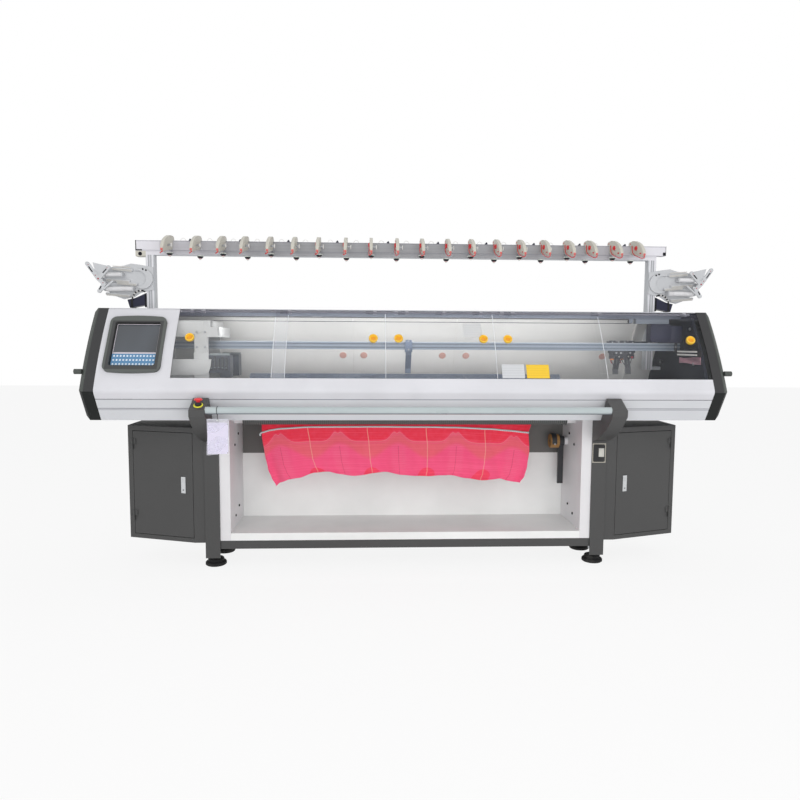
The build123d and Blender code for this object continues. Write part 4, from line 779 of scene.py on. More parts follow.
barrel_s, barrel_z, rib_run, rib_foot = 68, 449, (57.5, 78.5), 492
barrel = [(0, 0), (7.5, 0), (7.5, 1.0), (6.2, 1.6), (0, 1.6)]
key_way = [(0, 0), (3.6, 0), (3.6, 0.5), (0, 0.5)]
for side, sign in (("left", -1.0), ("right", 1.0)):
    key = Shape()
    flip = Vector((sign, 1.0, 1.0))
    out = door_out * flip
    key.turned(barrel, on_door(barrel_s, barrel_z, 2.0) * flip, out, 20)
    key.turned(key_way, on_door(barrel_s, barrel_z, 3.4) * flip, out, 14, 1)
    for k in range(5):
        key.tube([on_door(s, rib_foot + k * 5, 2.0) * flip for s in rib_run], 0.9, 8)
    made(side + "_latch_key", key, [latch_plate, black_steel], side + "_paddle")

# OPERATING BAR
# A drawn aluminium bar across the front, pivoted in the arms of the stands; the operator turns
# it with a hand or hip to start the machine. It still wears its clear packing film.
bar_film = Finish("bar_film", {"Metallic": 0.0, "Coat Roughness": 0.12, "Coat Weight": 0.6})
film_lines = bar_film.noise(1.0, 3.0, (1.2, 260.0, 260.0))
film_rubs = bar_film.noise(7.0, 4.0, (1.0, 3.0, 3.0))
# The underside of the bar is painted dark grey, as painted shade under it.
film_underside_painted_shade = bar_film.spread(bar_film.along("Z"), 0.9245, 0.9215, 0.0, 0.85)
film_cloud = film_lines * 0.5 + film_rubs * 0.5
film_tone = bar_film.mix(film_cloud, colour(160, 170, 172), colour(188, 198, 200))
bar_film.set({
    "Base Color": bar_film.mix(film_underside_painted_shade, film_tone, colour(104, 112, 120)),
    "Roughness": bar_film.rough(film_rubs, 0.25, 0.45),
    "Normal": bar_film.bump(film_lines, 0.12, 0.0004),
})
dress(bar_film, "operating_bar")
bar_y, bar_z = -425.0, 935.0
bush = [(9, 0), (15, 0), (16.5, 1.2), (16.5, 4.6), (9, 4.6)]
bar_bushes = Shape()
for sign in (-1, 1):
    bar_bushes.turned(bush, (sign * 1069.8, bar_y, bar_z), (-sign, 0, 0), 28, ring=True)
made("bar_bushes", bar_bushes, [black_steel], "frame")

# STOP BUTTON
# A red mushroom button in a black collar, with a yellow ring under it, on the left-hand arm.
# All three are moulded, and the button is pressed down to stop the machine.
moulded_red = Finish("stop_red", {"Coat Weight": 0.4, "Coat Roughness": 0.1})
speck = moulded_red.noise(420.0)
moulded_red.set({
    "Base Color": moulded_red.mix(speck, colour(214, 42, 50), colour(236, 58, 64)),
    "Roughness": moulded_red.rough(speck, 0.28, 0.38),
    "Normal": moulded_red.bump(speck, 0.08, 0.0003),
})


def moulded(name, base, roughness=0.4, grain=500.0, relief=0.15, coat=0.0):
    """Moulded plastic: even, with a fine spark-eroded texture and a faint flow cloud."""
    finish = Finish(name, {"Coat Roughness": 0.15, "Coat Weight": coat})
    fine, cloud = finish.noise(grain), finish.noise(9.0, 3.0)
    finish.set({
        "Base Color": finish.mix(fine * 0.4 + cloud * 0.6, toned(base, 0.93), base),
        "Roughness": finish.rough(cloud, roughness - 0.05, roughness + 0.08),
        "Normal": finish.bump(fine, relief, 0.0003),
    })
    return finish


ring_yellow = moulded("ring_yellow", colour(240, 236, 72), 0.4)
collar_black = moulded("collar_black", colour(26, 26, 28), 0.35)
stop_at, slope_at = (-1111.0, -408.0, 0.0), (-1111.0, -408.0, 961.2)
slope_up = (0.0, -0.4886, 0.8725)
ring_profile = [(14, -0.5), (25, -0.5), (25, 1.6), (24, 2.6), (15, 2.6), (14, 2.0)]
collar_profile = [(0, 950), (13, 950), (18.5, 964), (18.5, 968), (16, 972), (14.5, 974),
                  (14.5, 977), (0, 977)]
stop_ring = Shape()
stop_ring.turned(ring_profile, slope_at, slope_up, 40, ring=True)
stop_ring.turned(collar_profile, stop_at, steps=32, finish=1)
ring_piece = made("stop_collar", stop_ring, [ring_yellow, collar_black], "frame")
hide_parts("stop_button_base")
mushroom = [(0, 976.5), (10, 976.5), (10.5, 982), (13, 985), (19.5, 986), (21.6, 988),
            (22, 990.5), (21.2, 993.4), (18.4, 996.6), (14, 998.6), (8, 999.8), (0, 1000)]
stop_cap = Shape()
stop_cap.turned(mushroom, stop_at, steps=40)
mark_middle, mark_radius = Vector(stop_at) + Vector((0, 0, 998.9)), 12.5
for k in range(3):
    turn = radians(90 + 120 * k)
    a, b = Vector((cos(turn), sin(turn), 0)), Vector((-sin(turn), cos(turn), 0))
    mark = [mark_middle + (a * cos(t) + b * sin(t)) * mark_radius for t in (-0.5, -0.2, 0.2, 0.5)]
    stop_cap.tube(mark, 0.8, 6)
cap_piece = made("stop_mushroom", stop_cap, [moulded_red], "stop_head")
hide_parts("stop_button")

# DOCUMENT POUCH
# A clear plastic pouch with folded papers in it, welded along its rim and hung from the
# operating bar by a strap with a clip.
pouch_clear = Finish("pouch_clear", {"IOR": 1.45, "Specular IOR Level": 0.7})
wrinkle = pouch_clear.noise(32.0, 3.0)
pouch_clear.set({
    "Base Color": pouch_clear.mix(wrinkle, colour(226, 224, 242), colour(244, 244, 250)),
    "Roughness": pouch_clear.rough(wrinkle, 0.08, 0.25),
    "Alpha": pouch_clear.spread(wrinkle, 0.2, 0.8, 0.26, 0.36),
    "Normal": pouch_clear.bump(wrinkle, 0.5, 0.002),
})
paper = moulded("pouch_paper", colour(222, 217, 236), 0.8, 260.0, 0.1)
pouch_left, pouch_right, pouch_top, pouch_drop = -1066.0, -952.0, 892.0, 192.0
pouch_columns, pouch_rows = 26, 40
pouch = Shape()
layers = []
for face_side in (-1, 1):
    layer = []
    for j in range(pouch_rows + 1):
        t, pouch_row = j / pouch_rows, []
        for i in range(pouch_columns + 1):
            s = i / pouch_columns
            rim = s in (0, 1) or t in (0, 1)
            if rim and layers:
                pouch_row.append(layers[0][j][i])
                continue
            x = pouch_left + (pouch_right - pouch_left) * s + 1.6 * sin(5 * t) * (t > 0.05)
            z = pouch_top - (pouch_drop - 9.0 * s * t) * t
            swell = (4 * s * (1 - s)) ** 0.5 * (4 * t * (1 - t)) ** 0.35
            bend = 4.0 * sin(3.1 * s + 0.5) * t + 2.5 * sin(9.0 * t + 2.0 * s)
            y = bar_y - bend * min(1.0, 5 * t) + face_side * (0.05 + 2.6 * swell) * (not rim)
            pouch_row.append(pouch.mesh.verts.new((x / 1000, y / 1000, z / 1000)))
        layer.append(pouch_row)
    layers.append(layer)
for layer in layers:
    for upper, lower in zip(layer, layer[1:]):
        for i in range(pouch_columns):
            pouch.mesh.faces.new((upper[i], lower[i], lower[i + 1], upper[i + 1]))
pouch_piece = made("document_sleeve", pouch, [pouch_clear], "frame", 80.0)
papers = Shape()
for k, (near, far, foot, top) in enumerate(((4, 104, 708, 872), (10, 110, 716, 862))):
    folds = []
    for step in range(9):
        z = top + (foot - top) * step / 8
        hung = (pouch_top - z) / pouch_drop
        y = bar_y - 4.0 * sin(0.5 + 1.5 * hung) * hung + 0.7 * k - 0.65
        left, right = pouch_left + near, pouch_left + far
        folds.append([(left, y, z), (right, y, z), (right, y + 0.4, z), (left, y + 0.4, z)])
    papers.loft(folds)
papers_piece = made("pouch_papers", papers, [paper], "frame")
strap_x, loop_radius = -1009.0, 22.2
hanger = Shape()
loop_run = arc((bar_y, bar_z), loop_radius, range(-90, 271, 20))
hanger.tube([(strap_x, y, z) for y, z in loop_run], 1.4, 8)
strap_run = [(strap_x, bar_y, 913.0), (strap_x - 1.0, -426.5, 902.0),
             (strap_x + 1.0, -427.5, 890.0)]
hanger.tube(strap_run, 1.6, 8)
hanger.block((strap_x - 8, -430.0, 880.0), (strap_x + 8, -427.6, 890.0), 1, 0.8)
hanger.block((pouch_left + 2, -427.0, 884.5), (pouch_right - 2, -423.0, 891.5), 2, 1.2)
seal = moulded("pouch_seal", colour(196, 198, 206), 0.35, 300.0, 0.1)
hanger_piece = made("pouch_hanger", hanger, [seam_dark, latch_plate, seal], "frame")
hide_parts("document_pouch")

# NEEDLE BEDS
# Two ground steel beds in an inverted V, slotted at a fixed gauge, with a latch needle in every
# slot, on a cast beam with a ground sliding rail along each side.
bed_ground = metal("bed_ground", colour(124, 136, 156), 0.42, (150.0, 3.0, 3.0), 0.7)
beam_cast = sprayed("beam_cast", colour(112, 116, 124), 0.5, 0.5, 260.0)
dress(bed_ground, "front_needle_bed", "rear_needle_bed")
dress(beam_cast, "bed_beam")

graph, wires = new_tree("row_of_blocks", {
    "Start": "Vector", "End": "Vector", "Count": "Int", "Size": "Vector", "Turn": "Rotation",
    "Finish": "Material",
})


def line_of_points(graph, wires):
    """As many points as the tree's count asks for, from its start to its end."""
    return graph.node("GeometryNodeMeshLine", {"mode": "END_POINTS"}, {
        "Count": wires["Count"], "Start Location": wires["Start"], "Offset": wires["End"]})


tooth = graph.node("GeometryNodeMeshCube", {}, {"Size": wires["Size"]}, "Mesh")
teeth = graph.node("GeometryNodeInstanceOnPoints", {}, {
    "Points": line_of_points(graph, wires), "Instance": tooth, "Rotation": wires["Turn"]})
row_of_blocks = end_tree(graph, teeth, wires["Finish"])


def row(name, start, end, count, size, finish, turned_by=(0.0, 0.0, 0.0)):
    """Lays a straight row of small blocks between two points, in millimetres, on the frame."""
    values = {"Start": [c / 1000 for c in start], "End": [c / 1000 for c in end], "Count": count,
              "Size": [c / 1000 for c in size], "Turn": turned_by}
    laid_out(name, row_of_blocks, values, finish, "frame", crease=20.0)


needle_steel = metal("needle_steel", colour(196, 202, 210), 0.25, (30.0, 30.0, 30.0))
needle_count, first_needle, last_needle = 457, -912, 912
for side, sign in (("front", -1.0), ("rear", 1.0)):
    tilt = (radians(-45.0) * sign, 0.0, 0.0)
    for part, off_middle, z, size in (("_needles", 62.0, 1051.6, (1.1, 150.0, 1.4)),
                                      ("_needle_butts", 92.0, 1022.6, (1.0, 5.0, 3.2))):
        y = beds_middle_y + sign * off_middle
        row(side + part, (first_needle, y, z), (last_needle, y, z), needle_count, size,
            needle_steel, tilt)

# YARN RAILS
# Two grooved aluminium rails above the beds, on which the yarn carriers slide. Drawn and
# anodised, with a dark plastic stop screwed on at each end.
rail_metal = Finish("rail_metal", {"Metallic": 0.6})
rail_middle_z, groove_off = 1.275, 0.01
drawn, rail_height = rail_metal.noise(1.0, 2.0, (1.2, 70.0, 70.0)), rail_metal.along("Z")
# The grooves are painted darker, as painted shade in them, and the top edge is painted paler, as a
# painted highlight.
groove_painted_shade = rail_metal.line(abs(rail_height - rail_middle_z) - groove_off, 0.0048, 0.0036)
top_edge_painted_highlight = rail_metal.spread(rail_height, 1.2935, 1.2955, 0.0, 0.45)
rail_tone = rail_metal.mix(drawn, colour(132, 142, 154), colour(150, 160, 172))
rail_tone = rail_metal.mix(groove_painted_shade * 0.6, rail_tone, colour(84, 94, 110))
rail_metal.set({
    "Base Color": rail_metal.mix(top_edge_painted_highlight, rail_tone, colour(196, 202, 210)),
    "Roughness": rail_metal.rough(drawn, 0.32, 0.44),
    "Normal": rail_metal.bump(drawn, 0.04, 0.0003),
})
dress(rail_metal, "yarn_rails")
stop_screw = [(0, 0), (5.5, 0), (5.5, 3), (4.6, 3.8), (0, 3.8)]
rail_stops = Shape()
for y in (1.8, 91.8):
    for x in (-1604.0, 1604.0):
        rail_stops.block((x - 8.0, y - 9.0, 1246.0), (x + 8.0, y + 9.0, 1304.0), 0, 1.5)
        rail_stops.turned(stop_screw, (x, y - 9.0, 1275.0), forward, 12, 1)
made("rail_stops", rail_stops, [lever_black, zinc_steel], "frame")

# YARN CARRIERS
# Sliding blocks that lead the yarn down to the needles, each with a spring arm, an eye and a
# tube. One is plain grey; the two parked at the right are black with bright ring screws.
carrier_grey = sprayed("carrier_grey", colour(92, 104, 124), 0.4, 0.1)
carrier_black = moulded("carrier_black", colour(34, 36, 44), 0.42, 400.0, 0.25)
dress(carrier_grey, "yarn_carrier_1")
dress(carrier_black, "yarn_carrier_2", "yarn_carrier_3")
tag_orange = moulded("tag_orange", colour(226, 140, 70), 0.45)
tag_red = moulded("tag_red", colour(166, 46, 58), 0.4)
horn_white = moulded("horn_white", colour(232, 230, 226), 0.35)
arm_foot_z, arm_drop = 1221.0, 77.0


def on_arm(lean, x, z):
    """A point of a carrier's bent arm, which leans from its plate's Y to the feeder tip's Y."""
    root_y, tip_y = lean
    return (x, root_y + (tip_y - root_y) * min(1.0, (arm_foot_z - z) / arm_drop), z)


ring_screw = [(2.2, 0), (4.4, 0), (4.4, 1.8), (3.8, 2.4), (2.2, 2.4)]
block_screw = [(2.6, 0), (5.4, 0), (5.4, 1.8), (2.6, 1.8)]
spring_turn = [(3.0, 0), (4.2, 0.5), (4.2, 1.6), (3.0, 2.1)]
tag_ring = [(2.2, 0), (4.0, 0), (4.0, 4.0), (2.2, 4.0)]
left_tube = ((-33, 1200), (-27, 1182), (-12, 1160), (-4, 1142), (0, 1117))
right_tube = ((30, 1206), (21, 1184), (9, 1161), (3, 1143), (0, 1118))
for body, x0, half, y_face, y_low, y_back, lean, reach in (
    ("carrier_2", 1262.0, 60.0, 8.3, 11.0, 18.1, (13.1, 46.8), 20.0),
    ("carrier_3", 1342.0, 50.0, 69.8, 69.8, 85.5, (80.5, 53.8), 74.0),
):
    lean_down = (0.1, (lean[1] - lean[0]) / arm_drop, -1)
    left, right = x0 - half, x0 + half + reach
    bridge = Shape()
    bridge.block((left - 8, y_face, 1298.6), (right, y_back + 6.0, 1308.0), 0, 1.2)
    bridge.block((left, y_face, 1262.0), (right - 12.0, y_back, 1299.0), 0, 1.6)
    for x in (x0 - 0.62 * half, x0, x0 + 0.62 * half):
        bridge.turned(ring_screw, (x, y_face + 0.2, 1303.3), forward, 20, 1, True)
    bridge.block((x0 - 34, y_low - 9.0, 1226.0), (x0 + 34, y_back, 1251.4), 0, 2.0)
    bridge.block((x0 - 46, y_low, 1196.0), (x0 - 20, y_low + 9.0, 1232.0), 0, 2.5)
    bridge.block((x0 + 16, y_low, 1204.0), (x0 + 44, y_low + 9.0, 1232.0), 0, 2.5)
    for x in (x0 - 14, x0 + 14):
        bridge.turned(block_screw, (x, y_low - 8.8, 1239.0), forward, 18, 1, True)
    bridge.tube([on_arm(lean, x0 + dx, z) for dx, z in left_tube], 2.4)
    bridge.tube([on_arm(lean, x0 + dx, z) for dx, z in right_tube], 2.2)
    for k in range(6):
        at = on_arm(lean, x0 - 2 + 0.4 * k, 1203 - k * 6.0)
        bridge.turned(spring_turn, at, lean_down, 14, 1, True)
    made(body + "_bridge", bridge, [carrier_black, zinc_steel], body)
    tag_strip = [(x0 - 46, y_low, 1199), (x0 - 38, y_low + 8, 1186), (x0 - 30, y_low + 15, 1176)]
    tags = Shape()
    tags.block((x0 - 48, y_low - 2.4, 1197.0), (x0 - 26, y_low + 0.2, 1217.0), 0, 1.0)
    tags.tube(tag_strip, 2.4, 8, 1)
    tags.block((x0 + 22, y_low - 1.8, 1206.0), (x0 + 36, y_low + 0.2, 1218.0), 1, 0.8)
    tags.turned(tag_ring, (x0 + 8, y_low + 4.0, 1216.0), forward, 16, 2, True)
    made(body + "_tags", tags, [tag_orange, tag_red, horn_white], body)
grey_wire = [(0.0, -17.0, 1300.0), (-4.0, -18.5, 1307.0), (-2.0, -17.5, 1312.5),
             (6.0, -15.0, 1313.0)]
grey_screw = [(2.0, 0), (5.0, 0), (5.0, 2.4), (2.0, 2.4)]
grey_arm = Shape()
grey_arm.block((-10.0, -18.0, 1236.0), (26.0, -14.4, 1308.0), 0, 1.2)
grey_arm.tube(grey_wire, 1.6, 8, 1)
for z in (1252.0, 1302.0):
    grey_arm.turned(grey_screw, (8.0, -17.8, z), forward, 18, 1, True)
made("carrier_1_plate", grey_arm, [carrier_grey, zinc_steel], "carrier_1")

# CARRIAGE
# The heavy cam carriage: a cast bridge that straddles both beds on its sliding shoes, painted
# pale grey, bolted at its shoulders, and drawn along by the belt.
carriage_grey = sprayed("carriage_grey", colour(210, 211, 210), 0.42, 0.25, 500.0)
dress(carriage_grey, "carriage_frame")
carriage_x, carriage_front, carriage_back = -1300.0, -116.2, 209.8
bolts_at, bolts_face = [], []
for dx in (-158.5, -114.5, 114.5, 158.5):
    for z in (1346.0, 1262.0):
        for y, facing_y in ((carriage_front, -1.0), (carriage_back, 1.0)):
            bolts_at.append((carriage_x + dx, y, z))
            bolts_face.append((0.0, facing_y, 0.0))
bolt_sizes = {"Head radius": 0.0065, "Head height": 0.0045, "Socket share": 0.5}
laid_out("carriage_bolts", screw_heads, bolt_sizes, zinc_steel, "carriage",
         bolts_at, bolts_face)
head_cover = [(-224, 1322), (-224, 1366), (-184, 1372), (-184, 1402), (150, 1402), (150, 1350),
              (92, 1322)]
skirt = [(-1500, 1104), (-1500, 1194), (-1106, 1194), (-1112, 1150), (-1127, 1104)]
casing = Shape()
casing.prism([(carriage_x + dx, z) for dx, z in head_cover], "Y", -119.5, -116.0, 0, 1.4)
for dx in (-178, 95):
    low, high = (carriage_x + dx, -121.5, 1034), (carriage_x + dx + 83, -116.4, 1230)
    casing.block(low, high, 0, 3.0)
casing.prism(skirt, "Y", -126.0, -121.0, 0, 2.4)
made("carriage_covers", casing, [carriage_grey], "carriage")

# YARN CHANGER
# Dark slide units on both sides of the carriage that pick up the carriers, with solenoid plungers,
# springs and a stiff brush that opens the needle latches.
changer_dark = sprayed("changer_dark", colour(62, 68, 78), 0.4, 0.3, 400.0)
dress(changer_dark, "yarn_changer")
spring_steel = metal("spring_steel", colour(150, 158, 160), 0.3, (40.0, 40.0, 40.0))
slides = Shape()
random_slides = Random(4)
plunger = [(0, 0), (4.4, 0), (4.4, 2.5), (2.4, 3.4), (0, 3.4)]
coil_run = [(4.2 * cos(t * 0.9), 7.0 + 1.8 * sin(t * 0.9), 24 + t * 1.15) for t in range(36)]
for sign in (-1, 1):
    for face_y, out_y in ((-114.0, -1.0), (207.6, 1.0)):
        back_y, front_y = sorted((face_y - out_y, face_y + out_y * 3.5))
        for k in range(5):
            x = carriage_x + sign * (190 + k * 21.0)
            low = 1126 + random_slides.uniform(0, 10)
            high = 1196 + random_slides.uniform(0, 16)
            slides.block((x - 6.5, back_y, low), (x + 6.5, front_y, high), 0, 1.2)
            slides.turned(plunger, (x, face_y + out_y * 3.5, low + 14), (0, out_y, 0), 14, 1)
            coil = [(x + dx, face_y + out_y * dy, low + dz) for dx, dy, dz in coil_run]
            slides.tube(coil, 0.7, 5, 1)
        x = carriage_x + sign * 238
        back_y, front_y = sorted((face_y, face_y - out_y * 3))
        slides.block((x - 56, back_y, 1210), (x + 56, front_y, 1228), 1, 1.0)
made("changer_slides", slides, [lever_black, spring_steel], "carriage")
hair_black = spun("hair_black", colour(46, 50, 58), 90.0)

graph, wires = new_tree("brush_hair", {
    "Start": "Vector", "End": "Vector", "Count": "Int", "Hair length": "Float",
    "Hair radius": "Float", "Lean": "Float", "Seed": "Int", "Finish": "Material",
})
hair = graph.node("GeometryNodeMeshCone", {}, {
    "Vertices": 5, "Radius Top": wires["Hair radius"] * 0.4, "Radius Bottom": wires["Hair radius"],
    "Depth": wires["Hair length"]}, "Mesh")
back = wires["Lean"] * -1.0
lean_low = graph.node("ShaderNodeCombineXYZ", {}, {"X": back + pi, "Y": back, "Z": 0.0})
lean_high = graph.node("ShaderNodeCombineXYZ", {}, {
    "X": wires["Lean"] + pi, "Y": wires["Lean"], "Z": 0.0})
lean = graph.node("FunctionNodeRandomValue", {"data_type": "FLOAT_VECTOR"}, {
    0: lean_low, 1: lean_high, "Seed": wires["Seed"]}, 0)
hairs = graph.node("GeometryNodeInstanceOnPoints", {}, {
    "Points": line_of_points(graph, wires), "Instance": hair, "Rotation": lean})
brush_hair = end_tree(graph, hairs, wires["Finish"])
first_seed, brush_z, brush_run = 11, 1.112, (0.240, 0.294)
for k, (sign, y) in enumerate(((-1, -0.100), (-1, -0.084), (1, -0.100), (1, -0.084), (-1, 0.194),
                               (1, 0.194))):
    start, end = sorted(carriage_x / 1000 + sign * off for off in brush_run)
    laid_out(f"latch_brush_{k + 1}", brush_hair, {
        "Start": (start, y, brush_z), "End": (end, y, brush_z), "Count": 90, "Hair length": 0.020,
        "Hair radius": 0.0009, "Lean": 0.22, "Seed": first_seed + k},
        hair_black, "carriage")

# TOP BEAM, BELT AND DRIVES
# An aluminium beam under the roof carries the toothed belt that draws the carriage, and the
# belt motor; two feed motors sit under the side feeders and two power units in the cabinets.
beam_metal = metal("beam_metal", colour(146, 154, 166), 0.42, (1.2, 60.0, 60.0), 0.6)
dress(beam_metal, "top_beam")
belt_black = rubber("belt_black", colour(38, 40, 44), 0.6)
dress(belt_black, "belt_drive")
motor_slate = sprayed("motor_slate", colour(28, 30, 56), 0.45, 0.3, 500.0)
dress(motor_slate, "drive_units")
laid_out("belt_teeth", row_of_blocks, {
    "Start": (-1.545, 0.0163, 1.4352), "End": (1.315, 0.0163, 1.4352), "Count": 358,
    "Size": (0.004, 0.022, 0.0016), "Turn": (0.0, 0.0, 0.0)}, belt_black, "frame")
terminals = Shape()
terminals.block((1606.0, -268.0, 1222.0), (1631.8, -24.0, 1260.0), 0, 2.0)
terminals.block((1560.0, -26.0, 1300.5), (1631.8, 62.0, 1400.0), 1, 4.0)
terminals.block((1440.0, -26.0, 1312.0), (1566.0, -20.2, 1402.0), 1, 2.0)
made("terminal_strip", terminals, [seam_dark, motor_slate], "frame")
for k, z in enumerate((1232.0, 1250.0)):
    row(f"terminal_pins_{k + 1}", (1604.8, -262, z), (1604.8, -30, z), 30, (2.6, 4.4, 9.0),
        horn_white)
ribbon_pink = moulded("ribbon_pink", colour(206, 158, 172), 0.5, 200.0, 0.1)
ribbons = Shape()
for k in range(7):
    x, z = 1628.5 - 0.8 * (k % 2), 1214.0 - k * 5.2
    ribbons.tube([(x, y, z + 3.5 * sin(y / 48.0 + 0.5 * k)) for y in range(-262, 0, 14)], 2.2, 8)
made("signal_ribbons", ribbons, [ribbon_pink], "frame")

# END FRAMES
# Heavy steel plates that close the body at both ends and carry the beams. Sprayed slate blue,
# and held to the beams by socket screws.
frame_slate = sprayed("frame_slate", colour(14, 19, 32), 0.6, 0.2)
frame_slate.set({"Specular IOR Level": 0.15})
dress(frame_slate, "end_frames")
wall_screws("end_frame_screws", (0.009, 0.006, 0.5), zinc_steel, 1632.0,
            ((-180, 1180), (-120, 1380), (220, 1380), (250, 1180)))

# FRONT COVER AND LOWER PANEL
# The curved white skirt under the windows with its panel at the control end, and the lower
# panel, which has two pressed grooves. Folded sheet steel, sprayed gloss white and pale grey.
gloss_white = sprayed("gloss_white", colour(213, 213, 218), 0.32, 0.06, 500.0, 0.2)
satin_white = Finish("satin_white", {"Coat Weight": 0.1, "Coat Roughness": 0.2})
peel, panel_cloud = satin_white.noise(500.0), satin_white.noise(4.0, 3.0)
panel_height = satin_white.along("Z")
# The two pressed grooves are painted dark, as painted shade in them; the strip at the top edge is
# the dark seam under the cover.
seam_line = satin_white.spread(panel_height, 0.9828, 0.9842)
upper_groove_shade = satin_white.line(panel_height - 0.9342, 0.0022, 0.0012)
lower_groove_shade = satin_white.line(panel_height - 0.9262, 0.0018, 0.001, 0.6)
dark_seam_and_groove_shade = seam_line.maths("MINIMUM", seam_line + upper_groove_shade + lower_groove_shade, 1.0)
panel_tone = satin_white.mix(panel_cloud, colour(206, 208, 212), colour(214, 216, 220))
satin_white.set({
    "Base Color": satin_white.mix(dark_seam_and_groove_shade * 0.8, panel_tone, colour(92, 90, 108)),
    "Roughness": satin_white.rough(panel_cloud, 0.36, 0.46),
    "Normal": satin_white.bump(peel, 0.08, 0.0003),
})
dress(gloss_white, "front_cover")
dress(satin_white, "lower_front_panel")
arc_y, arc_z, arc_radius = 1670.4, 165.0, 2207.0


def skin_y(z):
    """Where the curved front skin stands at one height."""
    return arc_y - sqrt(arc_radius ** 2 - (z - arc_z) ** 2)


def on_skin(x, z, out=0.0):
    """A point on or off the curved front skin."""
    y = skin_y(z)
    return Vector((x, y + out * (y - arc_y) / arc_radius, z + out * (z - arc_z) / arc_radius))


def skin_out(z):
    """The way that the curved front skin faces at one height."""
    return Vector((0.0, (skin_y(z) - arc_y) / arc_radius, (z - arc_z) / arc_radius))


# WINDOWS
# Three hinged windows of bent clear acrylic over the beds, the outer two in overlapping sheets,
# each lifted by two yellow screw-on knobs.
acrylic = Finish("acrylic", {"IOR": 1.49, "Specular IOR Level": 0.5})
haze = acrylic.noise(5.0, 4.0)
scratches = acrylic.noise(1.0, 3.0, (3.0, 220.0, 220.0))
sheet_x, sheet_z = acrylic.along("X"), acrylic.along("Z")
clearer = acrylic.spread(sheet_x, 1.22, 1.36, 1.0, 0.42)
overlap = acrylic.line(sheet_x + 0.71, 0.0355, 0.0345, 0.13)
# The strip along the top is painted grey and made less clear, as painted shade under the roof's
# lip.
top_strip_painted_shade = acrylic.spread(sheet_z, 1.426, 1.436)
hazed = acrylic.spread(haze, 0.3, 0.7, 0.04, 0.07)
sheet_tint = acrylic.mix(haze, colour(214, 218, 224), colour(232, 234, 238))
acrylic.set({
    "Base Color": acrylic.mix(top_strip_painted_shade, sheet_tint, colour(110, 110, 124)),
    "Roughness": acrylic.spread(scratches, 0.4, 0.8, 0.04, 0.12),
    "Alpha": hazed * clearer + top_strip_painted_shade * 0.12 + overlap,
    "Normal": acrylic.bump(scratches, 0.02, 0.0002),
})
dress(acrylic, "left_window", "middle_window", "right_window")
knob_yellow = moulded("knob_yellow", colour(250, 202, 62), 0.3, 400.0, 0.08, 0.3)
# The dish in the middle of each knob is a darker copy of the knob's yellow, as painted shade in the
# dish.
knob_amber = moulded("knob_amber", colour(232, 164, 40), 0.35, 400.0, 0.08)
# The sheet edges and joints are drawn as white strips, as painted highlights along the acrylic's
# edges.
edge_white = moulded("edge_white", colour(236, 238, 242), 0.25, 200.0, 0.05)
knob_z, knob_ribs = 1310.0, 20
knob_rim = [(13.5, 6.4), (16.0, 10.5), (17.4, 15.5), (18.6, 17.4), (21.4, 18.0), (23.8, 16.4),
            (25.0, 13.0), (24.6, 6.0), (23.0, 1.6)]
for side, places in (("left", ((-1197.0, 0.0), (-199.0, 4.0))),
                     ("middle", ((-60.0, 0.0), (412.0, 0.0))),
                     ("right", ((548.0, 0.0), (1585.0, 4.0)))):
    knobs = Shape()
    for x, sunk in places:
        at, out = on_skin(x, knob_z), skin_out(knob_z)
        knobs.turned(knob_rim + [(22.0, -sunk), (13.5, -sunk)], at, out, 44, ring=True)
        middle = [(0, -sunk), (13.4, -sunk), (13.4, 6.2), (11.0, 5.4), (0, 5.0)]
        knobs.turned(middle, at, out, 32, 1)
        for k in range(knob_ribs):
            turn = 2 * pi * k / knob_ribs
            spoke = Vector((cos(turn), 0, 0)) + out.cross(Vector((1, 0, 0))) * sin(turn)
            knobs.tube([at + spoke * 24.1 + out * 5.0, at + spoke * 24.6 + out * 12.0], 0.9, 6)
    knob_piece = made(side + "_window_turned_knobs", knobs, [knob_yellow, knob_amber],
                      side + "_window_cover")
    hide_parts(side + "_window_knobs")
window_foot_z, edge_steps = 1102, 24
for side, x, top_z, out in (("left", -745.0, 1430.0, -0.3), ("left", -675.0, 1446.0, -5.3),
                            ("left", -131.5, 1452.0, -0.4), ("middle", 475.4, 1452.0, -0.4),
                            ("right", 1086.0, 1446.0, -5.3)):
    rise = (top_z - window_foot_z) / edge_steps
    strip = Shape()
    strip.tube([on_skin(x, window_foot_z + rise * k, out) for k in range(edge_steps + 1)], 1.5, 6)
    made(f"{side}_sheet_edge_{int(abs(x))}", strip, [edge_white], side + "_window_cover")

# CARDS
# Printed cards stuck on the windows, here left blank but for their ruled lines: a white and a
# yellow one low on the right-hand window, and a grey one high on the middle window.
def ruled_card(name, paper_tone, line_tone):
    """Coated card, blank but for the faint ruled lines of its empty fields."""
    finish = Finish(name, {"Coat Weight": 0.15, "Coat Roughness": 0.2})
    fibre = finish.noise(260.0, 3.0)
    height = finish.along("Z")
    from_line = height.maths("PINGPONG", height, 0.0065)
    line = finish.spread(from_line, 0.0011, 0.0005, 0.0, 0.35)
    finish.set({
        "Base Color": finish.mix(line, finish.mix(fibre * 0.12, paper_tone, line_tone), line_tone),
        "Roughness": finish.rough(fibre, 0.42, 0.54),
        "Normal": finish.bump(fibre, 0.05, 0.0001),
    })
    return finish


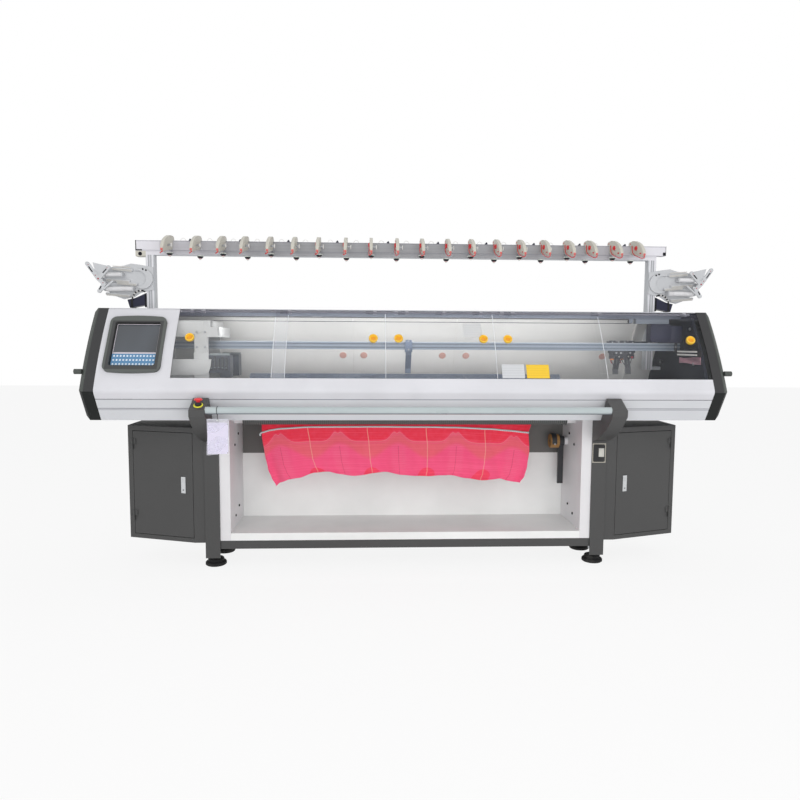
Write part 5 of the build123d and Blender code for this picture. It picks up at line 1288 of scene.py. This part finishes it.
card_white = ruled_card("card_white", colour(206, 208, 211), colour(140, 142, 150))
card_yellow = ruled_card("card_yellow", colour(240, 198, 50), colour(168, 136, 40))
card_grey = ruled_card("card_grey", colour(206, 207, 208), colour(180, 181, 186))
for name, side, x0, x1, z0, z1, finish, slot in (
    ("white_card", "right", 502.0, 626.0, 1103.0, 1177.0, card_white, "cover_white"),
    ("yellow_card", "right", 637.0, 762.0, 1103.0, 1176.0, card_yellow, "yellow_plastic"),
    ("grey_card", "middle", 303.0, 405.0, 1326.0, 1400.0, card_grey, "cover_white"),
):
    card = Shape()
    card.loft([[on_skin(x, z0 + (z1 - z0) * k / 8, out)
                for x, out in ((x0, 0.5), (x1, 0.5), (x1, 0.05), (x0, 0.05))] for k in range(9)])
    made(name, card, [finish], side + "_window_cover")

# REAR COVERS, ROOF AND CASING
# White steel skins: three hinged covers over the back of the beds, the roof plate that carries
# the hinges, and the fixed casing under them, all sprayed like the front.
inside_cream = sprayed("inside_cream", colour(226, 225, 222), 0.5, 0.08, 500.0, 0.2)
dress(inside_cream, "left_rear_cover", "middle_rear_cover", "right_rear_cover", "rear_casing")
roof_white = sprayed("roof_white", colour(213, 213, 218), 0.32, 0.06, 500.0, 0.2)
roof_x, roof_y = roof_white.along("X"), roof_white.along("Y")
roof_run = roof_white.spread(abs(roof_x - 0.196), 1.466, 1.46)
# The front lip of the roof is painted dark grey, as painted shade along the lip.
roof_lip_painted_shade = roof_white.spread(roof_y, -0.096, -0.1, 0.0, 0.75) * roof_run
roof_tone = roof_white.mix(roof_white.noise(3.0, 4.0), colour(206, 206, 211), colour(218, 218, 223))
roof_white.set({"Base Color": roof_white.mix(roof_lip_painted_shade, roof_tone, colour(112, 112, 126))})
dress(roof_white, "roof_panel")
seal_cream = rubber("seal_cream", colour(214, 213, 208), 0.7)


def on_back(x, z, out=0.0):
    """A point on or off the curved rear skin, which mirrors the front one."""
    point = on_skin(x, z, out)
    return Vector((point.x, 2 * beds_middle_y - point.y, point.z))


seal_foot_z, seal_out, seal_rise = 1100.6, -1.8, 16
for side, x_low, x_high in (("left", -1452.5, -324.5), ("middle", -321.5, 321.5),
                            ("right", 324.5, 1452.5)):
    back_seal = Shape()
    if side == "middle":
        for x in (x_low - 1.35, x_high + 1.35):
            back_seal.tube([on_back(x, 1102 + seal_rise * k, seal_out) for k in range(21)], 1.15, 8)
    foot_run = [on_back(x, seal_foot_z, seal_out) for x in (x_low, (x_low + x_high) / 2, x_high)]
    back_seal.tube(foot_run, 1.3, 8)
    made(side + "_back_seal", back_seal, [seal_cream], side + "_back_cover")
washer_salmon = moulded("washer_salmon", colour(206, 160, 148), 0.5)
grip_z = 1215.0
grip_out = skin_out(grip_z) * Vector((1.0, -1.0, 1.0))
grip_knob = [(0, 10), (12, 10.5), (15.5, 15.5), (18, 16.8), (21, 16.4), (22.8, 12.0), (22.6, 4.0),
             (22.3, 0.2), (0, 0.2)]
grip_washer = [(0, -8.2), (21.0, -8.2), (22.4, -7.6), (22.4, -6.9), (0, -6.9)]
for side, xs in (("left", (-1290.0, -389.0)), ("middle", (-257.0, 247.0)),
                 ("right", (399.0, 1290.0))):
    grips, washers = Shape(), Shape()
    for x in xs:
        grips.turned(grip_knob, on_back(x, grip_z), grip_out, 36)
        washers.turned(grip_washer, on_back(x, grip_z), grip_out, 32)
    made(side + "_back_grips", grips, [knob_yellow], side + "_back_cover")
    made(side + "_back_washers", washers, [washer_salmon], side + "_back_cover")

# END CAPS
# Moulded dark caps over both ends of the body, bevelled all round, with a small clamp knob each.
# The lower half is painted darker than the upper one, as painted shade on the underside below the
# nose.
cap_dark = Finish("cap_dark", {"Specular IOR Level": 0.3})
cap_grain, cap_cloud = cap_dark.noise(420.0), cap_dark.noise(7.0, 3.0)
# The outer sides are painted lighter, as painted light, and the lower half darker, as painted shade
# on the underside.
cap_side_painted_light = cap_dark.spread(abs(cap_dark.along("X")), 1.719, 1.722)
cap_above_underside_shade = cap_dark.spread(cap_dark.along("Z"), 1.026, 1.029)
cap_mottle = cap_grain * 0.4 + cap_cloud * 0.6
cap_tone = cap_dark.mix(cap_mottle, colour(56, 56, 57), colour(64, 64, 65))
cap_tone = cap_dark.mix(cap_side_painted_light, cap_tone, colour(80, 84, 81))
cap_dark.set({
    "Base Color": cap_dark.mix(cap_above_underside_shade, colour(24, 27, 26), cap_tone),
    "Roughness": cap_dark.rough(cap_cloud, 0.55, 0.68),
    "Normal": cap_dark.bump(cap_grain, 0.35, 0.0003),
})
dress(cap_dark, "left_end_cap", "right_end_cap")

# CONTROL PANEL
# A moulded surround sunk in the cover, with a tilted glass screen and a film keypad of small
# round keys under it. Nothing is printed on the keys.
panel_x, panel_z = -1483.0, 1275.0
bezel_grey = Finish("bezel_grey", {"Coat Roughness": 0.2})
bezel_grain, bezel_cloud = bezel_grey.noise(420.0), bezel_grey.noise(9.0, 3.0)
inner_x = bezel_grey.line(bezel_grey.along("X") - panel_x / 1000, 0.1385, 0.1365)
inner_z = bezel_grey.line(bezel_grey.along("Z") - panel_z / 1000, 0.131, 0.129)
bezel_mottle = bezel_grain * 0.4 + bezel_cloud * 0.6
bezel_tone = bezel_grey.mix(bezel_mottle, colour(82, 86, 83), colour(90, 94, 91))
bezel_grey.set({
    "Base Color": bezel_grey.mix(inner_x * inner_z, bezel_tone, colour(60, 61, 61)),
    "Roughness": bezel_grey.rough(bezel_cloud, 0.42, 0.55),
    "Normal": bezel_grey.bump(bezel_grain, 0.3, 0.0003),
})
dress(bezel_grey, "control_bezel")
panel_out = skin_out(panel_z)
panel_up = Vector((1.0, 0.0, 0.0)).cross(panel_out) * -1.0


def on_panel(right, up, out):
    """A point on the control panel from its middle, standing out from the cover's skin."""
    return on_skin(panel_x, panel_z) + Vector((right, 0, 0)) + panel_up * up + panel_out * out


glass = Finish("screen_dark", {
    "Specular IOR Level": 0.7, "Coat Weight": 0.8, "Coat Roughness": 0.03})
sweep = glass.noise(6.0, 1.0, (1.0, 0.4, 0.4))
sweep_share = glass.spread(sweep, 0.35, 0.65)
glass.set({
    "Base Color": glass.mix(sweep_share, colour(40, 46, 54), colour(56, 63, 72)),
    "Roughness": glass.rough(sweep, 0.08, 0.2),
})
dress(glass, "control_screen")
keypad_blue = moulded("keypad_blue", colour(92, 138, 178), 0.35, 300.0, 0.05)
dress(keypad_blue, "control_keypad")
rim_lilac = moulded("rim_lilac", colour(206, 200, 208), 0.4)
rim_out = -4.8
screen_rim = Shape()
for (left, right), (low, high), back in (((-117, 117), (127.5, 131), -6.2),
                                         ((-117, -113.5), (-45, 127.5), -6.2),
                                         ((113.5, 117), (-45, 127.5), -6.2),
                                         ((-117, 117), (-55, -46), -12.0)):
    corners = ((left, low), (right, low), (right, high), (left, high))
    screen_rim.loft([[on_panel(a, b, out) for a, b in corners] for out in (back, rim_out)],
                    0, 0.3, 1)
made("screen_rim", screen_rim, [rim_lilac], "frame")

graph, wires = new_tree("key_grid", {
    "Columns": "Int", "Rows": "Int", "Width": "Float", "Height": "Float", "Key radius": "Float",
    "Middle": "Vector", "Tilt": "Vector", "Finish": "Material",
})
grid = graph.node("GeometryNodeMeshGrid", {}, {
    "Size X": wires["Width"], "Size Y": wires["Height"], "Vertices X": wires["Columns"],
    "Vertices Y": wires["Rows"]}, "Mesh")
key_dome = graph.node("GeometryNodeMeshUVSphere", {}, {
    "Segments": 14, "Rings": 8, "Radius": wires["Key radius"]}, "Mesh")
keys = graph.node("GeometryNodeInstanceOnPoints", {}, {
    "Points": grid, "Instance": key_dome, "Scale": (1.0, 1.0, 0.28)})
tilt = graph.node("FunctionNodeEulerToRotation", {}, {0: wires["Tilt"]})
placed = graph.node("GeometryNodeTransform", {}, {
    "Geometry": keys, "Translation": wires["Middle"], "Rotation": tilt})
key_grid = end_tree(graph, placed, wires["Finish"])
key_white = moulded("key_white", colour(226, 236, 246), 0.35)
tilt_x = Vector((0.0, 0.0, 1.0)).angle(panel_out)
laid_out("panel_keys", key_grid, {
    "Columns": 13, "Rows": 3, "Width": 0.2112, "Height": 0.050, "Key radius": 0.0056,
    "Middle": on_panel(0, -93, -6.0) / 1000, "Tilt": (tilt_x, 0.0, 0.0)},
    key_white, "frame", crease=60.0)

# YARN STAND
# Two steel posts through the back of the roof carry a pale extruded bar across the machine, with
# a connector box and end fittings. Wire guides and small clips sit along its top.
stand_lilac = Finish("stand_lilac", {"Metallic": 0.1})
bar_across, bar_height = abs(stand_lilac.along("X")), stand_lilac.along("Z")
bar_foot_z, post_x = 1.8161, 1.556
rub = stand_lilac.noise(1.0, 3.0, (2.0, 90.0, 90.0))
# Along the bar, the middle is painted darker and the ends and stubs lighter, as painted shade and
# painted light, and the grooves are painted darker, as painted shade in them.
bar_middle_painted_shade = stand_lilac.mix(stand_lilac.spread(rub, 0.35, 0.7), colour(158, 159, 163),
                              colour(170, 171, 175))
bar_end_painted_light = stand_lilac.mix(rub, colour(196, 195, 202), colour(210, 209, 216))
bar_grooves_and_shade = stand_lilac.line(bar_height - 1.8435, 0.0026, 0.0014)
bar_grooves_and_shade = bar_grooves_and_shade + stand_lilac.line(bar_height - 1.9, 0.0032, 0.002, 0.9)
bar_grooves_and_shade = bar_grooves_and_shade + stand_lilac.line(bar_height - 1.835, 0.0012, 0.0006, 0.6)
bar_tone = bar_middle_painted_shade
for share, tint in (
    (stand_lilac.spread(bar_across, 0.9, 1.5), bar_end_painted_light),
    (stand_lilac.spread(bar_across, 1.49, 1.5), colour(226, 225, 231)),
    (bar_grooves_and_shade * 0.45, colour(116, 118, 132)),
):
    bar_tone = stand_lilac.mix(share, bar_tone, tint)
# The post is painted darker in its middle slot, along a groove line and on its turned-away sides,
# as painted shade.
from_slot = abs(bar_across - post_x)
post_tone = stand_lilac.mix(rub, colour(222, 222, 227), colour(234, 234, 238))
for share, tint in (
    (stand_lilac.spread(from_slot, 0.0095, 0.0075, 0.0, 0.6), colour(172, 176, 180)),
    (stand_lilac.line(from_slot - 0.0085, 0.0026, 0.0014) * 0.75, colour(96, 100, 108)),
    (stand_lilac.spread(from_slot, 0.019, 0.022, 0.0, 0.5), colour(150, 160, 164)),
):
    post_tone = stand_lilac.mix(share, post_tone, tint)
stand_lilac.set({
    "Base Color": stand_lilac.mix(bar_height > bar_foot_z, post_tone, bar_tone),
    "Roughness": stand_lilac.rough(rub, 0.38, 0.52),
    "Normal": stand_lilac.bump(bar_grooves_and_shade * -1.0, 0.5, 0.002),
})
dress(stand_lilac, "yarn_stand")
beige = moulded("beige", colour(206, 203, 192), 0.45, 400.0, 0.1)
plug_ring = [(5, 0), (11.5, 0), (11.5, 1.6), (10, 2.4), (5, 2.4)]
plug_middle = [(0, 0), (6, 0), (6, 1.0), (0, 1.0)]
box_screw = [(0, 0), (3.4, 0), (3.0, 2.4), (0, 3.0)]
fittings = Shape()
fittings.block((-1639.4, 253.6, 1846.0), (-1634.0, 306.4, 1903.4), 1, 0.8)
fittings.block((-1639.4, 253.4, 1841.5), (-1600.0, 256.0, 1849.0), 1, 0.8)
fittings.block((-1640.0, 253.2, 1806.4), (-1577.6, 306.6, 1840.0), 0, 3.0)
fittings.turned(plug_ring, (-1611.0, 253.4, 1822.0), forward, 24, 1, True)
fittings.turned(plug_middle, (-1611.0, 253.6, 1822.0), forward, 20, 1)
fittings.block((1620.0, 253.8, 1846.0), (1639.4, 256.4, 1866.0), 1, 0.8)
fittings.block((1636.6, 254.0, 1846.0), (1639.4, 306.2, 1903.2), 1, 0.8)
for x in (-1622.0, -1608.0, -1594.0):
    fittings.turned(box_screw, (x, 280.0, 1902.8), steps=12, finish=1)
made("bar_fittings", fittings, [beige, seam_dark], "frame")

# TENSION UNITS
# Twenty moulded yarn tensioners hooked over the bar, each with a red dial, a red sprung arm that
# loops under its nose, and a small white knob on a steel shaft.
unit_shifts = (-2, 16, 17, 4, 5, 2, -4, 10, 13, 20, 23, 30, 26, 31, 28, 26, 25, 9, 12, -2)
first_unit_x, unit_pitch = -1421.0, 149.579
unit_xs = [first_unit_x + k * unit_pitch + shift for k, shift in enumerate(unit_shifts)]

graph, wires = new_tree("set_out_pattern", {
    "Pattern": "Object", "Size": "Float", "Finish": "Material"})
pattern = graph.node("GeometryNodeObjectInfo", {"transform_space": "ORIGINAL"}, {
    "Object": wires["Pattern"]}, "Geometry")
even_size = graph.node("ShaderNodeCombineXYZ", {}, {axis: wires["Size"] for axis in range(3)})
copies = graph.node("GeometryNodeInstanceOnPoints", {}, {
    "Points": wires["Geometry"], "Instance": pattern, "Scale": even_size})
set_out_pattern = end_tree(graph, copies, wires["Finish"])


def set_out(name, shape, places, finish, crease=35.0):
    """Repeats one shape at every place, in millimetres, as one piece on the frame."""
    bmesh.ops.recalc_face_normals(shape.mesh, faces=shape.mesh.faces)
    pattern_mesh = bpy.data.meshes.new(name + "_pattern")
    shape.mesh.to_mesh(pattern_mesh)
    shape.mesh.free()
    pattern_piece = put(name + "_pattern", pattern_mesh)
    piece = laid_out(name, set_out_pattern, {"Pattern": pattern_piece, "Size": 1.0}, finish,
                     "frame", places, crease=crease)
    bpy.data.objects.remove(pattern_piece)
    return piece


unit_profile = [(290, 1904), (290, 1919), (284, 1927), (268, 1930), (222, 1929), (190, 1924),
                (160, 1915), (130, 1903), (104, 1889), (84, 1873), (68, 1855), (58, 1840),
                (54, 1828), (58, 1817), (70, 1812), (104, 1821), (146, 1831), (205, 1840),
                (236, 1846), (250, 1852), (254.4, 1862), (254.4, 1903.6)]
unit_half = 8.0
unit_places = [(x, 0.0, 0.0) for x in unit_xs]
unit_case = Shape()
unit_case.prism(unit_profile, "X", -unit_half, unit_half, 0, 3.0, 3)
unit_case.tube([(unit_half + 0.4, y, z - 1.4) for y, z in unit_profile[3:12]], 1.2, 6)
unit_case.tube([(-unit_half - 0.4, y, z - 1) for y, z in unit_profile[4:12]], 1.2, 6)
unit_piece = set_out("tensioner_cases", unit_case, unit_places, beige, 50.0)
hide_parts("tension_units")
dial_profile = [(0, 0), (13.5, 0), (13.5, 7.5), (12.0, 9.0), (8.4, 9.2), (8.0, 7.6), (4.5, 7.6),
                (4.5, 10.4), (0, 10.4)]
rear_button = [(0, 0), (4.6, 0), (4.6, 1.6), (3.4, 2.4), (0, 2.4)]
pointer = [(104, 1842), (112, 1838), (92, 1832), (82, 1834), (84, 1840)]
arm_path = [(-11, 222, 1900), (-12, 218, 1880), (-12.5, 208, 1858), (-13, 190, 1844),
            (-13.5, 160, 1832), (-13.5, 128, 1822), (-13.5, 96, 1813), (-12.5, 74, 1806),
            (-9, 60, 1804), (-3, 55, 1806), (2, 56, 1811), (5, 64, 1818)]
dial = Shape()
dial.turned(dial_profile, (-7.8, 160.0, 1876.0), (-1, 0, 0), 28)
dial.turned(rear_button, (-7.8, 258.0, 1916.0), (-1, 0, 0), 18)
dial.prism(pointer, "X", -10.2, -7.6, 0, 0.6)
dial.tube(arm_path, 2.6, 8)
arm_red = moulded("arm_red", colour(214, 44, 48), 0.35, 400.0, 0.06, 0.2)
set_out("tensioner_dials", dial, unit_places, arm_red)
nose = [(52, 1824), (58, 1817), (74, 1819), (78, 1829), (66, 1835), (54, 1832)]
tip = Shape()
tip.prism(nose, "X", -6.5, 7.5, 0, 2.5)
tip_pink = moulded("tip_pink", colour(214, 112, 108), 0.4)
set_out("tensioner_tips", tip, unit_places, tip_pink)
spring_steps = [0.4 * k for k in range(16)]
shaft = Shape()
shaft.turned([(0, 0), (6.0, 0), (6.0, 21), (0, 21)], (7.6, 150.0, 1862.0), (1, 0, 0), 16)
shaft.tube([(12 + 6 * cos(t), 84 + 0.5 * t, 1811 + 6 * sin(t)) for t in spring_steps], 1.2, 6)
shaft.tube([(4 + 5 * cos(t), 118 + 0.4 * t, 1820 + 5 * sin(t)) for t in spring_steps], 1.1, 6)
set_out("tensioner_shafts", shaft, unit_places, zinc_steel)
knob_profile = [(0, 0), (10.5, 0), (12.2, 1.2), (12.2, 3.8), (10.8, 5.0), (0, 5.2)]
knob = Shape()
knob.turned(knob_profile, (28.2, 150.0, 1862.0), (1, 0, 0), 24)
set_out("tensioner_knobs", knob, unit_places, horn_white)
guide_bow = [(-17, 1902.6), (-16, 1909), (-11, 1916), (-3, 1919.5), (5, 1918), (12, 1911),
             (14, 1902.6)]
guide = Shape()
guide.tube([(x, 268, z) for x, z in guide_bow], 1.3, 8)
gap_xs = [(a + b) / 2 for a, b in zip(unit_xs, unit_xs[1:])]
set_out("wire_guides", guide, [(x - 14, 0.0, 0.0) for x in gap_xs], horn_white)
clip = Shape()
clip.block((-8, 262, 1902.4), (8, 276, 1911), 0, 1.5)
clip.block((-3, 258, 1910), (5, 270, 1916), 0, 1.2)
clip_navy = moulded("clip_navy", colour(40, 42, 62), 0.45)
set_out("bar_clips", clip, [(x + 26, 0.0, 0.0) for x in gap_xs[::2]], clip_navy)

# YARN CUPS
# A turned cup for each end of yarn, in a front and a rear row under the bar: a pale rim, a black
# bowl, and a pale nose with a pink collar.
front_places = [(x, 215.0, 1826.0) for x in unit_xs[0::2]]
rear_places = [(x, 272.0, 1816.0) for x in unit_xs[1::2]]
cup_pale = moulded("cup_pale", colour(226, 232, 224), 0.35, 400.0, 0.06)
cup_pink = moulded("cup_pink", colour(226, 160, 168), 0.4)
cup_black = moulded("cup_black", colour(30, 31, 35), 0.38, 400.0, 0.2)
cup_places = front_places + rear_places
rim_profile = [(0, 0), (18.6, 0), (20.2, -1.0), (20.4, -3.0), (18.8, -4.6), (0, -4.6)]
nose_profile = [(0, -17), (7.6, -17), (6.2, -22), (4.4, -25.6), (0, -26)]
bowl_profile = [(0, -4.4), (18.2, -4.4), (17.6, -9), (14.2, -14), (9.2, -17.6), (0, -17.6)]
collar_profile = [(5, -17.2), (8.8, -17.2), (9.0, -18.6), (8.2, -19.8), (5, -19.8)]
rim = Shape()
rim.turned(rim_profile, (0, 0, 0), steps=32)
rim.turned(nose_profile, (0, 0, 0), steps=22)
rim_piece = set_out("cup_rims", rim, cup_places, cup_pale)
bowl = Shape()
bowl.turned(bowl_profile, (0, 0, 0), steps=32)
set_out("cup_bowls", bowl, cup_places, cup_black)
collar = Shape()
collar.turned(collar_profile, (0, 0, 0), ring=True)
set_out("cup_collars", collar, cup_places, cup_pink)
stem = Shape()
stem.turned([(0, -2), (3.0, -2), (3.0, 18.5), (0, 18.5)], (0, 6.0, 0), steps=12)
stem.block((-4, 2, 12), (4, 40.5, 18), 0, 1.0)
set_out("cup_stems", stem, front_places, zinc_steel)
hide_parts("yarn_cups")

# SIDE FEEDERS
# A feeding head at each end of the bar: silver plates, rows of fine white comb teeth, a forked
# yoke with slots drawn as thin dark plates of painted shade, two driven grip rollers and a slate
# motor under them.
feeder_silver = sprayed("feeder_silver", colour(200, 202, 205), 0.38, 0.1, 600.0)
dress(feeder_silver, "side_feeders")
feed_grip = rubber("feed_grip", colour(226, 226, 228), 0.6)
dress(feed_grip, "left_upper_feed_roller", "left_lower_feed_roller", "right_upper_feed_roller",
      "right_lower_feed_roller")
comb_lines = (((1660, 1717), (1772, 1727)), ((1678, 1649), (1808, 1659)),
              ((1634, 1632), (1744, 1642)), ((1678, 1564), (1810, 1574)))
for sign, side in ((-1, "left"), (1, "right")):
    for k, ((xa, za), (xb, zb)) in enumerate(comb_lines):
        row(f"{side}_comb_{k + 1}", (sign * xa, 234.6, za), (sign * xb, 234.6, zb), 34,
            (1.5, 5.0, 13.0), horn_white)
    row(f"{side}_comb_5", (sign * 1664, 233.6, 1736), (sign * 1768, 233.6, 1744), 30,
        (1.5, 4.0, 7.0), horn_white)
slot_lines = (((1872, 1703), (1894, 1735)), ((1824, 1620), (1834, 1600)),
              ((1790, 1722), (1812, 1698)))
slot_half = 3.4
stud_screw = [(0, 0), (5, 0), (5, 3), (4, 3.8), (0, 3.8)]
hex_bolt = [(0, 0), (7, 0), (7, 5), (5, 6.5), (0, 6.5)]
yoke = Shape()
# Each slot is a thin dark plate on the yoke's face, as painted shade in the slot.
for (xa, za), (xb, zb) in slot_lines:
    along = Vector((xb - xa, 0, zb - za)).normalized()
    aside = Vector((along.z, 0, -along.x)) * slot_half
    start, end = Vector((xa, 0, za)), Vector((xb, 0, zb))
    outline = [(p.x, p.z) for p in (start - aside, end - aside, end + aside, start + aside)]
    yoke.prism(outline, "Y", 187.2, 188.3, 0, 0.4)
for x, z, radius in ((1840, 1664, 5.0), (1856, 1684, 3.0), (1812, 1640, 3.0), (1896, 1746, 2.6),
                     (1786, 1728, 2.6)):
    rivet = [(0, 0), (radius, 0), (radius * 0.85, 1.8), (0, 2.2)]
    yoke.turned(rivet, (x, 188.2, z), forward, 16, 1)
for x, z in ((1574, 1722), (1592, 1728)):
    yoke.turned(stud_screw, (x, 237.2, z), forward, 14)
yoke.turned(hex_bolt, (1554, 255.2, 1640), forward, 6, 2)
yoke.both_ends()
made("yoke_fittings", yoke, [seam_dark, tag_red, zinc_steel], "frame")
motor_ends = Shape()
motor_ends.block((1579.6, 252.8, 1500), (1592, 318, 1584), 0, 3.0)
motor_ends.block((1662, 252.8, 1497), (1676, 318, 1546), 0, 3.0)
cable_run = [(1584, 246, 1592), (1600, 244, 1600), (1622, 243, 1598), (1640, 243, 1588),
             (1652, 243, 1574), (1660, 243, 1558), (1664, 246, 1544)]
motor_ends.tube(cable_run, 4.2)
for a, b in zip(cable_run[1:5], cable_run[2:6]):
    middle = (Vector(a) + Vector(b)) / 2
    motor_ends.tube([middle.lerp(Vector(end), 0.4) for end in (a, b)], 5.2, finish=1)
motor_ends.both_ends()
made("feed_motor_ends", motor_ends, [seam_dark, horn_white], "frame")

bpy.context.view_layer.update()
